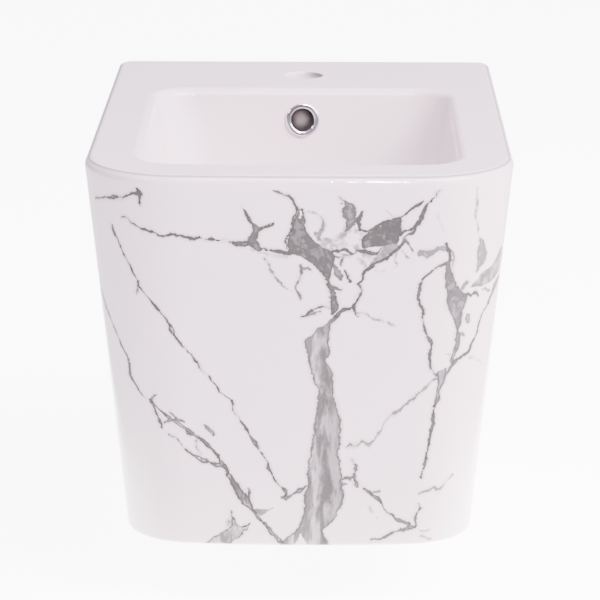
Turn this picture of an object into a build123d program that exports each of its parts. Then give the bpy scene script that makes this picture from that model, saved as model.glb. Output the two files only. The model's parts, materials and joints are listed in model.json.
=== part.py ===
from build123d import *
from math import cos, pi, radians, sin, sqrt, tan
import os

os.makedirs("parts", exist_ok=True)

# A wall-hung bidet, in millimetres. The wall is the plane y = 0 and the bidet stands out of it
# towards -Y. The origin lies on the wall, midway between the two wall studs, and +Z is up.

# Outside of the ceramic
WIDTH = 360.0
DEPTH = 520.0
HEIGHT = 340.0
DECK_Z = 90.0
FOOT_INSET = 30.0
FOOT_RECESS = 70.0
REAR_CORNER_R = 16.0
FRONT_CORNER_R = 84.0
FRONT_BOW_R = 4000.0
FOOT_CORNER_R = 60.0
FOOT_BOW_R = 1000.0
TOP_EDGE_R = 7.0
FOOT_EDGE_R = 4.0
GROUND_OFF = 1.0

# Walls of the ceramic
SKIRT_WALL = 11.0
DECK_WALL = 14.0
REAR_WALL = 16.0
WEB_BELOW_STUDS = 55.0
FOOT_LIP = 18.0
FOOT_LIP_WALL = 11.0
REAR_OPENING_SIDE = 32.0
REAR_OPENING_R = 20.0

# Basin, measured where its walls would meet the deck
LEDGE = 145.0
SIDE_RIM = 46.5
FRONT_RIM = 53.5
BASIN_DEPTH = 140.0
BASIN_CORNER_R = 32.0
BASIN_FLOOR_CORNER_R = 56.0
BASIN_FLOOR_EDGE_R = 34.0
BASIN_LIP_R = 8.5
BASIN_WALL = 10.0
REAR_LEAN = 12.0
SIDE_LEAN = 10.0
FRONT_LEAN = 12.0
DISH_R = 48.0
DISH_DROP = 3.0

# Tap hole
TAP_HOLE_D = 35.0
TAP_HOLE_FROM_WALL = 76.0
TAP_HOLE_EDGE_R = 2.0

# Overflow
OVERFLOW_DROP = 28.0
OVERFLOW_HOLE_D = 24.0
OVERFLOW_RING_D = 31.0
OVERFLOW_RING_BORE = 21.0
OVERFLOW_RING_FACE = 3.0
OVERFLOW_SPIGOT_PAST_WALL = 3.0
CHANNEL_WIDTH = 34.0
CHANNEL_GAP = 12.0
CHANNEL_WALL = 7.0

# Waste boss and waste
WASTE_FROM_WALL = 262.0
BOSS_D = 78.0
BOSS_HEIGHT = 44.0
BOSS_BORE = 46.0
FLANGE_D = 64.0
FLANGE_WALL = 3.0
FLANGE_RECESS = 4.0
WASTE_BORE = 36.0
WASTE_TAIL_D = 41.9
WASTE_THREAD_D = 40.43
TAIL_LENGTH = 34.0
THREAD_RUNOUT = 1.0
WINDOW_WIDTH = 14.0
FLANGE_GASKET = 2.0
LOWER_GASKET = 8.0
LOWER_GASKET_D = 60.0
LOWER_GASKET_TOP_D = 52.0
SLIP_WASHER = 2.0
SLIP_WASHER_D = 61.0
BACKNUT = 12.0
BACKNUT_D = 58.0
BACKNUT_LUG = 5.0
BACKNUT_LUGS = 6
SPIDER_WALL = 3.0
SPIDER_HEIGHT = 9.0
SPIDER_BELOW_BOSS = 4.0
HUB_D = 21.0

# Click-clack plug
PLUG_D = 60.0
PLUG_WALL = 4.0
PLUG_CROWN = 2.0
PLUG_BOSS_D = 14.0
PLUG_BOSS = 5.0
PLUG_LIFT = 9.0
PLUG_REST_GAP = 0.3
SEAL_D = 54.0
SEAL_BORE = 42.0
SEAL_WALL = 3.0
ROD_D = 6.0
ROD_CLEARANCE = 0.05
ROD_THREAD = 3.0
HOUSING_D = 15.0
HOUSING_BORE = 12.0
HOUSING_FLOOR = 3.0
HOUSING_ABOVE_HUB = 24.0
HOUSING_COLLAR = 2.0
HOUSING_COLLAR_D = 18.0
HOUSING_DRAIN_D = 4.0
GUIDE_LIP = 2.5
GUIDE_SPIGOT = 4.0
PLUNGER_D = 11.0
PLUNGER_WALL = 3.0
CAM_RING_HEIGHT = 5.0
CAM_NOTCHES = 4
CAM_NOTCH = 1.5
CAM_RING_CLEARANCE = 0.4
SPRING_D = 9.0
SPRING_WIRE = 1.0

# Wall fixing
STUD_SPACING = 180.0
STUD_D = 12.0
STUD_SHANK_D = 10.86
STUD_BEHIND_WALL = 60.0
STUD_THREAD_START = 1.0
STUD_PAST_NUT = 6.0
STUD_HEX_AF = 6.0
STUD_HEX_DEPTH = 5.0
STUD_HOLE_D = 18.0
STUD_BOSS_D = 46.0
STUD_BOSS = 8.0
SLEEVE_LIP_D = 28.0
SLEEVE_LIP = 3.0
SLEEVE_SHORT_OF_WALL = 3.0
WASHER_D = 28.0
WASHER = 2.5
NUT_AF = 18.0
NUT = 10.0
NUT_CAP_WALL = 2.0
NUT_CAP_ROOM = 3.0
NUT_CAP_EDGE_R = 3.0

# Fits
SLIP_FIT = 0.2
THREAD_FIT = 0.03
EDGE_BREAK = 0.6
TOUCH = 1e-6

# Levels and places that follow from the sizes above
FOOT_Z = DECK_Z - HEIGHT
CAVITY_TOP_Z = DECK_Z - DECK_WALL
WEB_BOTTOM_Z = -WEB_BELOW_STUDS
FLOOR_Z = DECK_Z - BASIN_DEPTH
FLOOR_UNDER_Z = FLOOR_Z - BASIN_WALL
CHANNEL_FLOOR_Z = FLOOR_UNDER_Z - CHANNEL_GAP
DISH_Z = FLOOR_Z - DISH_DROP
RECESS_Z = DISH_Z - FLANGE_RECESS
BOSS_BOTTOM_Z = RECESS_Z - BOSS_HEIGHT
FLANGE_BOTTOM_Z = RECESS_Z + FLANGE_GASKET
FLANGE_TOP_Z = FLANGE_BOTTOM_Z + FLANGE_WALL
SLIP_WASHER_TOP_Z = BOSS_BOTTOM_Z - LOWER_GASKET
BACKNUT_TOP_Z = SLIP_WASHER_TOP_Z - SLIP_WASHER
BACKNUT_BOTTOM_Z = BACKNUT_TOP_Z - BACKNUT
TAIL_Z = BACKNUT_BOTTOM_Z - TAIL_LENGTH
HUB_TOP_Z = BOSS_BOTTOM_Z - SPIDER_BELOW_BOSS
HUB_BOTTOM_Z = HUB_TOP_Z - SPIDER_HEIGHT
HOUSING_TOP_Z = HUB_TOP_Z + HOUSING_ABOVE_HUB
HOUSING_BOTTOM_Z = HUB_BOTTOM_Z - HOUSING_FLOOR
SEAL_BOTTOM_Z = FLANGE_TOP_Z + PLUG_LIFT + PLUG_REST_GAP
PLUG_BOTTOM_Z = SEAL_BOTTOM_Z + SEAL_WALL
CAM_RING_TOP_Z = HOUSING_TOP_Z - GUIDE_SPIGOT - PLUG_REST_GAP
PLUNGER_TOP_Z = CAM_RING_TOP_Z - CAM_RING_HEIGHT
PLUNGER_BOTTOM_Z = PLUNGER_TOP_Z - PLUNGER_WALL
SPRING_BOTTOM_Z = HOUSING_BOTTOM_Z + HOUSING_FLOOR
WASTE = [(0, -WASTE_FROM_WALL)]
STUDS = [(-STUD_SPACING / 2, 0), (STUD_SPACING / 2, 0)]
CENTRE = [(0, 0)]
STUD_SEAT_Y = -REAR_WALL - STUD_BOSS
WASHER_SEAT_Y = STUD_SEAT_Y - SLEEVE_LIP
NUT_SEAT_Y = WASHER_SEAT_Y - WASHER
STUD_FRONT_Y = NUT_SEAT_Y - NUT - STUD_PAST_NUT


def level_outline(z, half_width, rear_y, front_y, rear_r, front_r, bow_r):
    """One level outline: straight back and sides, a bowed front and four round corners."""
    shoulder_y = front_y + bow_r - sqrt(bow_r**2 - half_width**2)
    with BuildSketch(Plane.XY.offset(z)) as level:
        with BuildLine():
            Polyline(
                (half_width, shoulder_y),
                (half_width, rear_y),
                (-half_width, rear_y),
                (-half_width, shoulder_y),
            )
            ThreePointArc((-half_width, shoulder_y), (0, front_y), (half_width, shoulder_y))
        make_face()
        fillet(level.vertices().group_by(Axis.Y)[-1], rear_r)
        fillet(level.vertices().filter_by(lambda v: abs(v.Y - shoulder_y) < TOUCH), front_r)
    return level.sketch


def skirt_level(z, inward, rear_y):
    """Outline of the skirt at height z, moved inwards by a wall."""
    share = (DECK_Z - z) / HEIGHT
    return level_outline(
        z,
        WIDTH / 2 - FOOT_INSET * share - inward,
        rear_y,
        -DEPTH + FOOT_RECESS * share + inward,
        REAR_CORNER_R,
        FRONT_CORNER_R + (FOOT_CORNER_R - FRONT_CORNER_R) * share - inward,
        FRONT_BOW_R + (FOOT_BOW_R - FRONT_BOW_R) * share - inward,
    )


def basin_level(z, outward, corner_r):
    """Outline of the basin at height z, moved outwards by its wall."""
    drop = DECK_Z - z
    return level_outline(
        z,
        WIDTH / 2 - SIDE_RIM - drop * tan(radians(SIDE_LEAN)) + outward,
        rear_wall_y(z) + outward,
        -DEPTH + FRONT_RIM + drop * tan(radians(FRONT_LEAN)) - outward,
        corner_r + outward,
        corner_r + outward,
        FRONT_BOW_R,
    )


def rear_wall_y(z):
    """Where the basin's rear wall stands at height z."""
    return -LEDGE - (DECK_Z - z) * tan(radians(REAR_LEAN))


def channel_profile(top_z, floor_z, near, far):
    """Side view of the overflow channel: down behind the basin, then forward under its floor."""
    with BuildSketch(Plane.YZ) as side_view:
        with BuildLine():
            Polyline(
                (rear_wall_y(top_z) + near, top_z),
                (rear_wall_y(top_z) + far, top_z),
                (rear_wall_y(floor_z) + far, floor_z),
                (-WASTE_FROM_WALL, floor_z),
                (-WASTE_FROM_WALL, FLOOR_Z - near),
                (rear_wall_y(FLOOR_Z - near) + near, FLOOR_Z - near),
                close=True,
            )
        make_face()
    return side_view.sketch


def rings(base, places, outer_d, bore_d):
    """Rings of one size, one at each place of the base plane."""
    with BuildSketch(base) as flat:
        with Locations(*places):
            Circle(outer_d / 2)
            Circle(bore_d / 2, mode=Mode.SUBTRACT)
    return flat.sketch


def discs(base, places, diameter):
    """Discs of one size, one at each place of the base plane."""
    with BuildSketch(base) as flat:
        with Locations(*places):
            Circle(diameter / 2)
    return flat.sketch


def level(z):
    """Level plane at height z."""
    return Plane.XY.offset(z)


def before_wall(y):
    """Upright plane at distance y from the wall, facing away from it."""
    return Plane.XZ.offset(-y)


# The basin as a block of space, with its rounded floor edge and the dish round the waste
with BuildPart() as basin_space:
    loft(
        [
            basin_level(FLOOR_Z, 0, BASIN_FLOOR_CORNER_R),
            basin_level(DECK_Z, 0, BASIN_CORNER_R),
        ],
        ruled=True,
    )
    fillet(basin_space.edges().group_by(Axis.Z)[0], BASIN_FLOOR_EDGE_R)
    loft(
        [
            discs(level(FLOOR_Z), WASTE, 2 * DISH_R),
            discs(level(DISH_Z), WASTE, FLANGE_D + 2 * SLIP_FIT),
        ],
        ruled=True,
    )

# The outside of the basin's own wall, up to the middle of the deck
with BuildPart() as basin_shell:
    loft(
        [
            basin_level(FLOOR_UNDER_Z, BASIN_WALL, BASIN_FLOOR_CORNER_R),
            basin_level(DECK_Z - DECK_WALL / 2, BASIN_WALL, BASIN_CORNER_R),
        ],
        ruled=True,
    )
    fillet(basin_shell.edges().group_by(Axis.Z)[0], BASIN_FLOOR_EDGE_R)

# Where the overflow ring sits, square to the leaning rear wall and facing into the basin
overflow_seat = Plane(
    origin=(0, rear_wall_y(DECK_Z - OVERFLOW_DROP), DECK_Z - OVERFLOW_DROP),
    x_dir=(1, 0, 0),
    z_dir=(0, -cos(radians(REAR_LEAN)), sin(radians(REAR_LEAN))),
)

with BuildPart() as ceramic_body:
    # Outside, tapering straight from the deck to the foot, with its back ground flat on the wall plane
    loft([skirt_level(FOOT_Z, 0, GROUND_OFF), skirt_level(DECK_Z, 0, GROUND_OFF)], ruled=True)
    split(bisect_by=Plane.XZ, keep=Keep.TOP)
    fillet(ceramic_body.edges().group_by(Axis.Z)[-1], TOP_EDGE_R)
    fillet(ceramic_body.edges().group_by(Axis.Z)[0], FOOT_EDGE_R)
    # Cavity behind the skirt, the opening underneath and the opening at the wall
    loft(
        [
            skirt_level(FOOT_Z + FOOT_LIP_WALL, SKIRT_WALL, -REAR_WALL),
            skirt_level(CAVITY_TOP_Z, SKIRT_WALL, -REAR_WALL),
        ],
        ruled=True,
        mode=Mode.SUBTRACT,
    )
    extrude(
        skirt_level(FOOT_Z, SKIRT_WALL + FOOT_LIP, -REAR_WALL - FOOT_LIP),
        amount=FOOT_LIP_WALL,
        mode=Mode.SUBTRACT,
    )
    opening_width = WIDTH - 2 * FOOT_INSET - 2 * REAR_OPENING_SIDE
    with BuildSketch(Plane.XZ) as rear_opening:
        with Locations((0, WEB_BOTTOM_Z)):
            Rectangle(opening_width, WEB_BOTTOM_Z - FOOT_Z, align=(Align.CENTER, Align.MAX))
        fillet(rear_opening.vertices().group_by(Axis.Z)[-1], REAR_OPENING_R)
    extrude(amount=REAR_WALL + FOOT_LIP, mode=Mode.SUBTRACT)
    # Basin wall, waste boss, overflow casing and stud bosses, as they hang in the cavity
    add(basin_shell.part)
    extrude(discs(level(FLOOR_Z), WASTE, BOSS_D), amount=BOSS_BOTTOM_Z - FLOOR_Z)
    extrude(
        channel_profile(
            DECK_Z - DECK_WALL / 2,
            CHANNEL_FLOOR_Z - CHANNEL_WALL,
            BASIN_WALL / 2,
            BASIN_WALL + CHANNEL_GAP + CHANNEL_WALL,
        ),
        amount=CHANNEL_WIDTH / 2 + CHANNEL_WALL,
        both=True,
    )
    extrude(discs(before_wall(-REAR_WALL), STUDS, STUD_BOSS_D), amount=STUD_BOSS)
    # Basin, with its rolled lip
    add(basin_space.part, mode=Mode.SUBTRACT)
    fillet(ceramic_body.edges(Select.LAST).group_by(Axis.Z)[-1], BASIN_LIP_R)
    # Waste seat and bore
    with Locations((0, -WASTE_FROM_WALL, DISH_Z)):
        CounterBoreHole(BOSS_BORE / 2, FLANGE_D / 2 + SLIP_FIT, FLANGE_RECESS, BOSS_HEIGHT + FLANGE_RECESS)
    # Overflow channel and its mouth
    extrude(
        channel_profile(CAVITY_TOP_Z, CHANNEL_FLOOR_Z, BASIN_WALL, BASIN_WALL + CHANNEL_GAP),
        amount=CHANNEL_WIDTH / 2,
        both=True,
        mode=Mode.SUBTRACT,
    )
    extrude(
        discs(overflow_seat, CENTRE, OVERFLOW_HOLE_D),
        amount=-BASIN_WALL - CHANNEL_GAP / 2,
        mode=Mode.SUBTRACT,
    )
    # Stud holes and tap hole
    extrude(
        discs(before_wall(0), STUDS, STUD_HOLE_D),
        amount=REAR_WALL + STUD_BOSS,
        mode=Mode.SUBTRACT,
    )
    extrude(
        discs(level(DECK_Z), [(0, -TAP_HOLE_FROM_WALL)], TAP_HOLE_D),
        amount=-DECK_WALL,
        mode=Mode.SUBTRACT,
    )
    fillet(ceramic_body.edges(Select.LAST).group_by(Axis.Z)[-1], TAP_HOLE_EDGE_R)
ceramic_body.part.label = "ceramic_body"
export_step(ceramic_body.part, "parts/ceramic_body.step")

with BuildPart() as overflow_ring:
    spigot = BASIN_WALL + OVERFLOW_SPIGOT_PAST_WALL
    extrude(discs(overflow_seat, CENTRE, OVERFLOW_RING_D), amount=OVERFLOW_RING_FACE)
    extrude(discs(overflow_seat, CENTRE, OVERFLOW_HOLE_D - 2 * SLIP_FIT), amount=-spigot)
    extrude(
        discs(overflow_seat.offset(OVERFLOW_RING_FACE), CENTRE, OVERFLOW_RING_BORE),
        amount=-OVERFLOW_RING_FACE - spigot,
        mode=Mode.SUBTRACT,
    )
    front_edges = overflow_ring.edges().sort_by(Axis(overflow_seat.origin, overflow_seat.z_dir))[-2:]
    fillet(front_edges, OVERFLOW_RING_FACE / 2)
overflow_ring.part.label = "overflow_ring"
export_step(overflow_ring.part, "parts/overflow_ring.step")

# Wall fixing, from the wall outwards
with BuildPart() as wall_studs:
    extrude(
        discs(before_wall(-STUD_THREAD_START), STUDS, STUD_D),
        amount=-STUD_BEHIND_WALL - STUD_THREAD_START,
    )
    chamfer(wall_studs.edges().group_by(Axis.Y)[-1], EDGE_BREAK)
    extrude(
        discs(before_wall(-STUD_THREAD_START), STUDS, STUD_SHANK_D),
        amount=-STUD_FRONT_Y - STUD_THREAD_START,
    )
    chamfer(wall_studs.edges().group_by(Axis.Y)[0], EDGE_BREAK)
    with BuildSketch(before_wall(STUD_FRONT_Y)):
        with Locations(*STUDS):
            RegularPolygon(STUD_HEX_AF / 2, 6, major_radius=False)
    extrude(amount=-STUD_HEX_DEPTH, mode=Mode.SUBTRACT)
wall_studs.part.label = "wall_studs"
export_step(wall_studs.part, "parts/wall_studs.step")

with BuildPart() as stud_sleeves:
    sleeve_bore = STUD_D + 2 * SLIP_FIT
    extrude(rings(before_wall(STUD_SEAT_Y), STUDS, SLEEVE_LIP_D, sleeve_bore), amount=SLEEVE_LIP)
    extrude(
        rings(before_wall(STUD_SEAT_Y), STUDS, STUD_HOLE_D - 2 * SLIP_FIT, sleeve_bore),
        amount=STUD_SEAT_Y + SLEEVE_SHORT_OF_WALL,
    )
stud_sleeves.part.label = "stud_sleeves"
export_step(stud_sleeves.part, "parts/stud_sleeves.step")

with BuildPart() as stud_washers:
    extrude(rings(before_wall(WASHER_SEAT_Y), STUDS, WASHER_D, STUD_D + 2 * SLIP_FIT), amount=WASHER)
stud_washers.part.label = "stud_washers"
export_step(stud_washers.part, "parts/stud_washers.step")

with BuildPart() as stud_nuts:
    with BuildSketch(before_wall(NUT_SEAT_Y)):
        with Locations(*STUDS):
            RegularPolygon(NUT_AF / 2, 6, major_radius=False)
            Circle(STUD_SHANK_D / 2 + THREAD_FIT, mode=Mode.SUBTRACT)
    extrude(amount=NUT)
stud_nuts.part.label = "stud_nuts"
export_step(stud_nuts.part, "parts/stud_nuts.step")

with BuildPart() as nut_caps:
    cap_bore = NUT_AF / cos(radians(30)) + 2 * SLIP_FIT
    cap_inside = NUT + STUD_PAST_NUT + NUT_CAP_ROOM
    extrude(
        discs(before_wall(NUT_SEAT_Y), STUDS, cap_bore + 2 * NUT_CAP_WALL),
        amount=cap_inside + NUT_CAP_WALL,
    )
    fillet(nut_caps.edges().group_by(Axis.Y)[0], NUT_CAP_EDGE_R)
    extrude(discs(before_wall(NUT_SEAT_Y), STUDS, cap_bore), amount=cap_inside, mode=Mode.SUBTRACT)
nut_caps.part.label = "nut_caps"
export_step(nut_caps.part, "parts/nut_caps.step")

# Waste, from its flange in the basin down to the tail
with BuildPart() as waste_body:
    extrude(discs(level(FLANGE_BOTTOM_Z), WASTE, FLANGE_D), amount=FLANGE_WALL)
    fillet(waste_body.edges().group_by(Axis.Z)[-1], FLANGE_WALL / 2)
    extrude(
        discs(level(FLANGE_BOTTOM_Z), WASTE, WASTE_THREAD_D),
        amount=BACKNUT_BOTTOM_Z - THREAD_RUNOUT - FLANGE_BOTTOM_Z,
    )
    extrude(discs(level(TAIL_Z), WASTE, WASTE_TAIL_D), amount=TAIL_LENGTH - THREAD_RUNOUT)
    extrude(discs(level(TAIL_Z), WASTE, WASTE_BORE), amount=FLANGE_TOP_Z - TAIL_Z, mode=Mode.SUBTRACT)
    mouth = waste_body.edges(Select.LAST).group_by(Axis.Z)[-1]
    chamfer(mouth, EDGE_BREAK)
    # Overflow windows, level with the channel
    with BuildSketch(before_wall(-WASTE_FROM_WALL)):
        with Locations((0, CHANNEL_FLOOR_Z + CHANNEL_GAP / 2)):
            Rectangle(WINDOW_WIDTH, CHANNEL_GAP)
    extrude(amount=WASTE_TAIL_D / 2, both=True, mode=Mode.SUBTRACT)
    # Spider and its hub
    with BuildSketch(level(HUB_BOTTOM_Z)):
        with Locations(*WASTE):
            Circle(HUB_D / 2)
            Rectangle((WASTE_BORE + WASTE_THREAD_D) / 2, SPIDER_WALL)
            Rectangle(SPIDER_WALL, (WASTE_BORE + WASTE_THREAD_D) / 2)
            Circle(HOUSING_D / 2 + THREAD_FIT, mode=Mode.SUBTRACT)
    extrude(amount=SPIDER_HEIGHT)
waste_body.part.label = "waste_body"
export_step(waste_body.part, "parts/waste_body.step")

waste_hole = WASTE_THREAD_D + 2 * SLIP_FIT
with BuildPart() as flange_gasket:
    extrude(rings(level(RECESS_Z), WASTE, FLANGE_D, waste_hole), amount=FLANGE_GASKET)
flange_gasket.part.label = "flange_gasket"
export_step(flange_gasket.part, "parts/flange_gasket.step")

with BuildPart() as lower_gasket:
    loft(
        [
            discs(level(SLIP_WASHER_TOP_Z), WASTE, LOWER_GASKET_D),
            discs(level(BOSS_BOTTOM_Z), WASTE, LOWER_GASKET_TOP_D),
        ],
        ruled=True,
    )
    extrude(
        discs(level(SLIP_WASHER_TOP_Z), WASTE, waste_hole),
        amount=LOWER_GASKET,
        mode=Mode.SUBTRACT,
    )
lower_gasket.part.label = "lower_gasket"
export_step(lower_gasket.part, "parts/lower_gasket.step")

with BuildPart() as slip_washer:
    extrude(rings(level(BACKNUT_TOP_Z), WASTE, SLIP_WASHER_D, waste_hole), amount=SLIP_WASHER)
slip_washer.part.label = "slip_washer"
export_step(slip_washer.part, "parts/slip_washer.step")

with BuildPart() as backnut:
    with BuildSketch(level(BACKNUT_BOTTOM_Z)):
        with Locations(*WASTE):
            Circle(BACKNUT_D / 2)
            with PolarLocations(BACKNUT_D / 2, BACKNUT_LUGS):
                Rectangle(BACKNUT_LUG, 2 * BACKNUT_LUG)
            Circle(WASTE_THREAD_D / 2 + THREAD_FIT, mode=Mode.SUBTRACT)
    extrude(amount=BACKNUT)
backnut.part.label = "backnut"
export_step(backnut.part, "parts/backnut.step")

# Click-clack cartridge
with BuildPart() as click_cartridge:
    extrude(
        discs(level(HOUSING_BOTTOM_Z), WASTE, HOUSING_D),
        amount=HOUSING_TOP_Z - HOUSING_BOTTOM_Z,
    )
    extrude(discs(level(HUB_TOP_Z), WASTE, HOUSING_COLLAR_D), amount=HOUSING_COLLAR)
    extrude(
        discs(level(SPRING_BOTTOM_Z), WASTE, HOUSING_BORE),
        amount=HOUSING_TOP_Z - SPRING_BOTTOM_Z,
        mode=Mode.SUBTRACT,
    )
    extrude(
        discs(level(HOUSING_BOTTOM_Z), WASTE, HOUSING_DRAIN_D),
        amount=HOUSING_FLOOR,
        mode=Mode.SUBTRACT,
    )
click_cartridge.part.label = "click_cartridge"
export_step(click_cartridge.part, "parts/click_cartridge.step")

with BuildPart() as cartridge_cap:
    guide_bore = ROD_D + 2 * ROD_CLEARANCE
    extrude(rings(level(HOUSING_TOP_Z), WASTE, HOUSING_D, guide_bore), amount=GUIDE_LIP)
    extrude(
        rings(level(HOUSING_TOP_Z), WASTE, HOUSING_BORE - 2 * THREAD_FIT, guide_bore),
        amount=-GUIDE_SPIGOT,
    )
    chamfer(cartridge_cap.edges().group_by(Axis.Z)[-1].sort_by(SortBy.LENGTH)[-1], EDGE_BREAK)
cartridge_cap.part.label = "cartridge_cap"
export_step(cartridge_cap.part, "parts/cartridge_cap.step")

with BuildPart() as plug_spring:
    extrude(
        rings(level(SPRING_BOTTOM_Z), WASTE, SPRING_D, SPRING_D - 2 * SPRING_WIRE),
        amount=PLUNGER_BOTTOM_Z - SPRING_BOTTOM_Z,
    )
plug_spring.part.label = "plug_spring"
export_step(plug_spring.part, "parts/plug_spring.step")

with BuildPart() as click_rod:
    extrude(discs(level(PLUNGER_BOTTOM_Z), WASTE, PLUNGER_D), amount=PLUNGER_WALL)
    extrude(
        discs(level(PLUNGER_TOP_Z), WASTE, ROD_D),
        amount=PLUG_BOTTOM_Z + ROD_THREAD - PLUNGER_TOP_Z,
    )
    chamfer(click_rod.edges().group_by(Axis.Z)[-1], EDGE_BREAK)
click_rod.part.label = "click_rod"
export_step(click_rod.part, "parts/click_rod.step")

with BuildPart() as cam_ring:
    extrude(
        rings(
            level(PLUNGER_TOP_Z),
            WASTE,
            HOUSING_BORE - 2 * CAM_RING_CLEARANCE,
            ROD_D + 2 * SLIP_FIT,
        ),
        amount=CAM_RING_HEIGHT,
    )
    with BuildSketch(level(CAM_RING_TOP_Z)):
        with Locations(*WASTE):
            with PolarLocations(HOUSING_BORE / 2, CAM_NOTCHES):
                Rectangle(2 * CAM_NOTCH, CAM_NOTCH)
    extrude(amount=-CAM_NOTCH, mode=Mode.SUBTRACT)
cam_ring.part.label = "cam_ring"
export_step(cam_ring.part, "parts/cam_ring.step")

# Plug, shown open, as the spring leaves it
with BuildPart() as plug_cap:
    plug_r = PLUG_D / 2
    with BuildSketch(Plane.XZ.offset(WASTE_FROM_WALL)):
        with BuildLine():
            Polyline(
                (0, PLUG_BOTTOM_Z + PLUG_WALL + PLUG_CROWN),
                (0, PLUG_BOTTOM_Z),
                (plug_r, PLUG_BOTTOM_Z),
                (plug_r, PLUG_BOTTOM_Z + PLUG_WALL),
            )
            RadiusArc(
                (plug_r, PLUG_BOTTOM_Z + PLUG_WALL),
                (0, PLUG_BOTTOM_Z + PLUG_WALL + PLUG_CROWN),
                -(plug_r**2 + PLUG_CROWN**2) / (2 * PLUG_CROWN),
            )
        make_face()
    revolve(axis=Axis((0, -WASTE_FROM_WALL, 0), (0, 0, 1)))
    rims = plug_cap.edges().filter_by(lambda e: e.is_closed and abs(e.length - pi * PLUG_D) < TOUCH)
    fillet(rims.sort_by(Axis.Z)[-1], PLUG_WALL / 2)
    extrude(discs(level(PLUG_BOTTOM_Z), WASTE, PLUG_BOSS_D), amount=-PLUG_BOSS)
    extrude(
        discs(level(PLUG_BOTTOM_Z - PLUG_BOSS), WASTE, ROD_D + 2 * THREAD_FIT),
        amount=PLUG_BOSS + ROD_THREAD,
        mode=Mode.SUBTRACT,
    )
plug_cap.part.label = "plug_cap"
export_step(plug_cap.part, "parts/plug_cap.step")

with BuildPart() as plug_seal:
    extrude(rings(level(SEAL_BOTTOM_Z), WASTE, SEAL_D, SEAL_BORE), amount=SEAL_WALL)
plug_seal.part.label = "plug_seal"
export_step(plug_seal.part, "parts/plug_seal.step")
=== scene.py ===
import json
from math import atan2, cos, hypot, pi, radians, sin, tan

import bpy
from mathutils import Matrix, Vector


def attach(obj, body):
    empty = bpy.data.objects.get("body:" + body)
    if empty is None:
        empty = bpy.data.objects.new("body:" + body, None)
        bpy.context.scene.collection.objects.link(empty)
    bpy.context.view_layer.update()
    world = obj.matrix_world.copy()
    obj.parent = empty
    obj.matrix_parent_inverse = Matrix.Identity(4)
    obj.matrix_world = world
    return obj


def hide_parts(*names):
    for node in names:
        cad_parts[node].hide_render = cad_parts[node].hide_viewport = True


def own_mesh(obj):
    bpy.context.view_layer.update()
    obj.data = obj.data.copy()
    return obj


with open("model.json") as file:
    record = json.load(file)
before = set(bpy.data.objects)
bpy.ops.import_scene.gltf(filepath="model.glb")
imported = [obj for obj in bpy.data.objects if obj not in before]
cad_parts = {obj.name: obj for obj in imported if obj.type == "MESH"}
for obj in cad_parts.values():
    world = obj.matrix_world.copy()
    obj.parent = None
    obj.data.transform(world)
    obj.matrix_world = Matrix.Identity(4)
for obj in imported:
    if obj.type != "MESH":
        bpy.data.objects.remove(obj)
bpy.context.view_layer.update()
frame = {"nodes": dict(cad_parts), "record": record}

# A wall-hung bidet. Lengths are in metres, or in millimetres where a name says so.
MM = 0.001

# The skirt tapers straight from the deck to the foot (mm)
DECK_Z, FOOT_Z = 90.0, -250.0
HALF_WIDTH, FOOT_INSET = 180.0, 30.0
FRONT_Y, FOOT_RECESS = -520.0, 70.0
CORNER_R, FOOT_CORNER_R = 84.0, 60.0
BOW_R, FOOT_BOW_R = 4000.0, 1000.0
SKIRT_WALL = 11.0

# The basin's walls, where they would meet the deck, how they lean, and the room for its lip (mm, degrees)
BASIN_HALF_WIDTH, BASIN_REAR_Y, BASIN_FRONT_Y = 133.5, -145.0, -466.5
SIDE_LEAN, END_LEAN = 10.0, 12.0
BASIN_BOTTOM_Z = -58.5
BASIN_LIP = 3.0

# Under this height the hollow behind the skirt begins, and past this depth its wall is unglazed (mm)
HOLLOW_TOP_Z, GLAZED_DEPTH = DECK_Z - 9.0, SKIRT_WALL - 2.0

# The overflow channel behind the basin's rear wall, and the spot in it that the light reaches (mm)
CHANNEL_FRONT_Y, CHANNEL_BACK_Y, CHANNEL_REACH = -160.0, -110.0, 40.0
LIT_SPOT_X, LIT_SPOT_Z = -2.0, 59.0

# The tap hole in the ledge and its rounded lip (mm)
TAP_HOLE_Y, TAP_HOLE_R, TAP_HOLE_LIP = -76.0, 17.5, 1.6

# The waste's pipe thread, and the wall studs with their metric thread (mm)
WASTE_Y, WASTE_THREAD_R, WASTE_THREAD_TOP_Z, PIPE_PITCH = -262.0, 19.8, -60.0, 2.309
STUD_X, STUD_FRONT_Y, STUD_BACK_Y = 90.0, -45.5, 60.0
STUD_PITCH, STUD_CORE_R, STUD_CREST_R = 1.75, 5.05, 6.0
STUD_CHAMFER, STUD_SOCKET_AF, STUD_SOCKET = 1.0, 6.0, 5.0

# The plug's spring, round the waste's axis, and how far the plug goes down (mm)
SPRING_R, SPRING_WIRE_R, SPRING_TURNS = 4.5, 0.5, 7
SPRING_FOOT_Z, SPRING_TOP_Z, PLUG_STROKE = -114.0, -93.3, 9.0

# The print starts under the rim. Its front ends where each corner turns away from the room.
PRINT_TOP_Z = 79.0
PRINT_TURN = 1.36
TRUNK_TOP_Z = -28.0
VEIN_GAP_MM = 6.0

# The share of the light that the darkest ink still gives back, next to bare glaze
INK_SHARE = 0.019

# The room: the camera stands 3 m before the wall, and the floor lies 400 mm under the deck
CAMERA_AT = Vector((28.5, -3000.0, 644.0)) * MM
YAW, PITCH, ROLL = radians(-0.6), radians(14.83), radians(0.12)
FOCAL_PX, FRAME_PX, SENSOR_MM = 3137.0, 600.0, 36.0
AXIS_COLUMN, AXIS_ROW = 300.8, 300.0

# The skirt's lowest row in the frame, and the most pixels that a point may lie past the outline. A pixel
# measures about a millimetre on the skirt.
FOOT_ROW, MOST_DRAWN_IN, PIXEL_MM = 543, 12, 1.0

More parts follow.
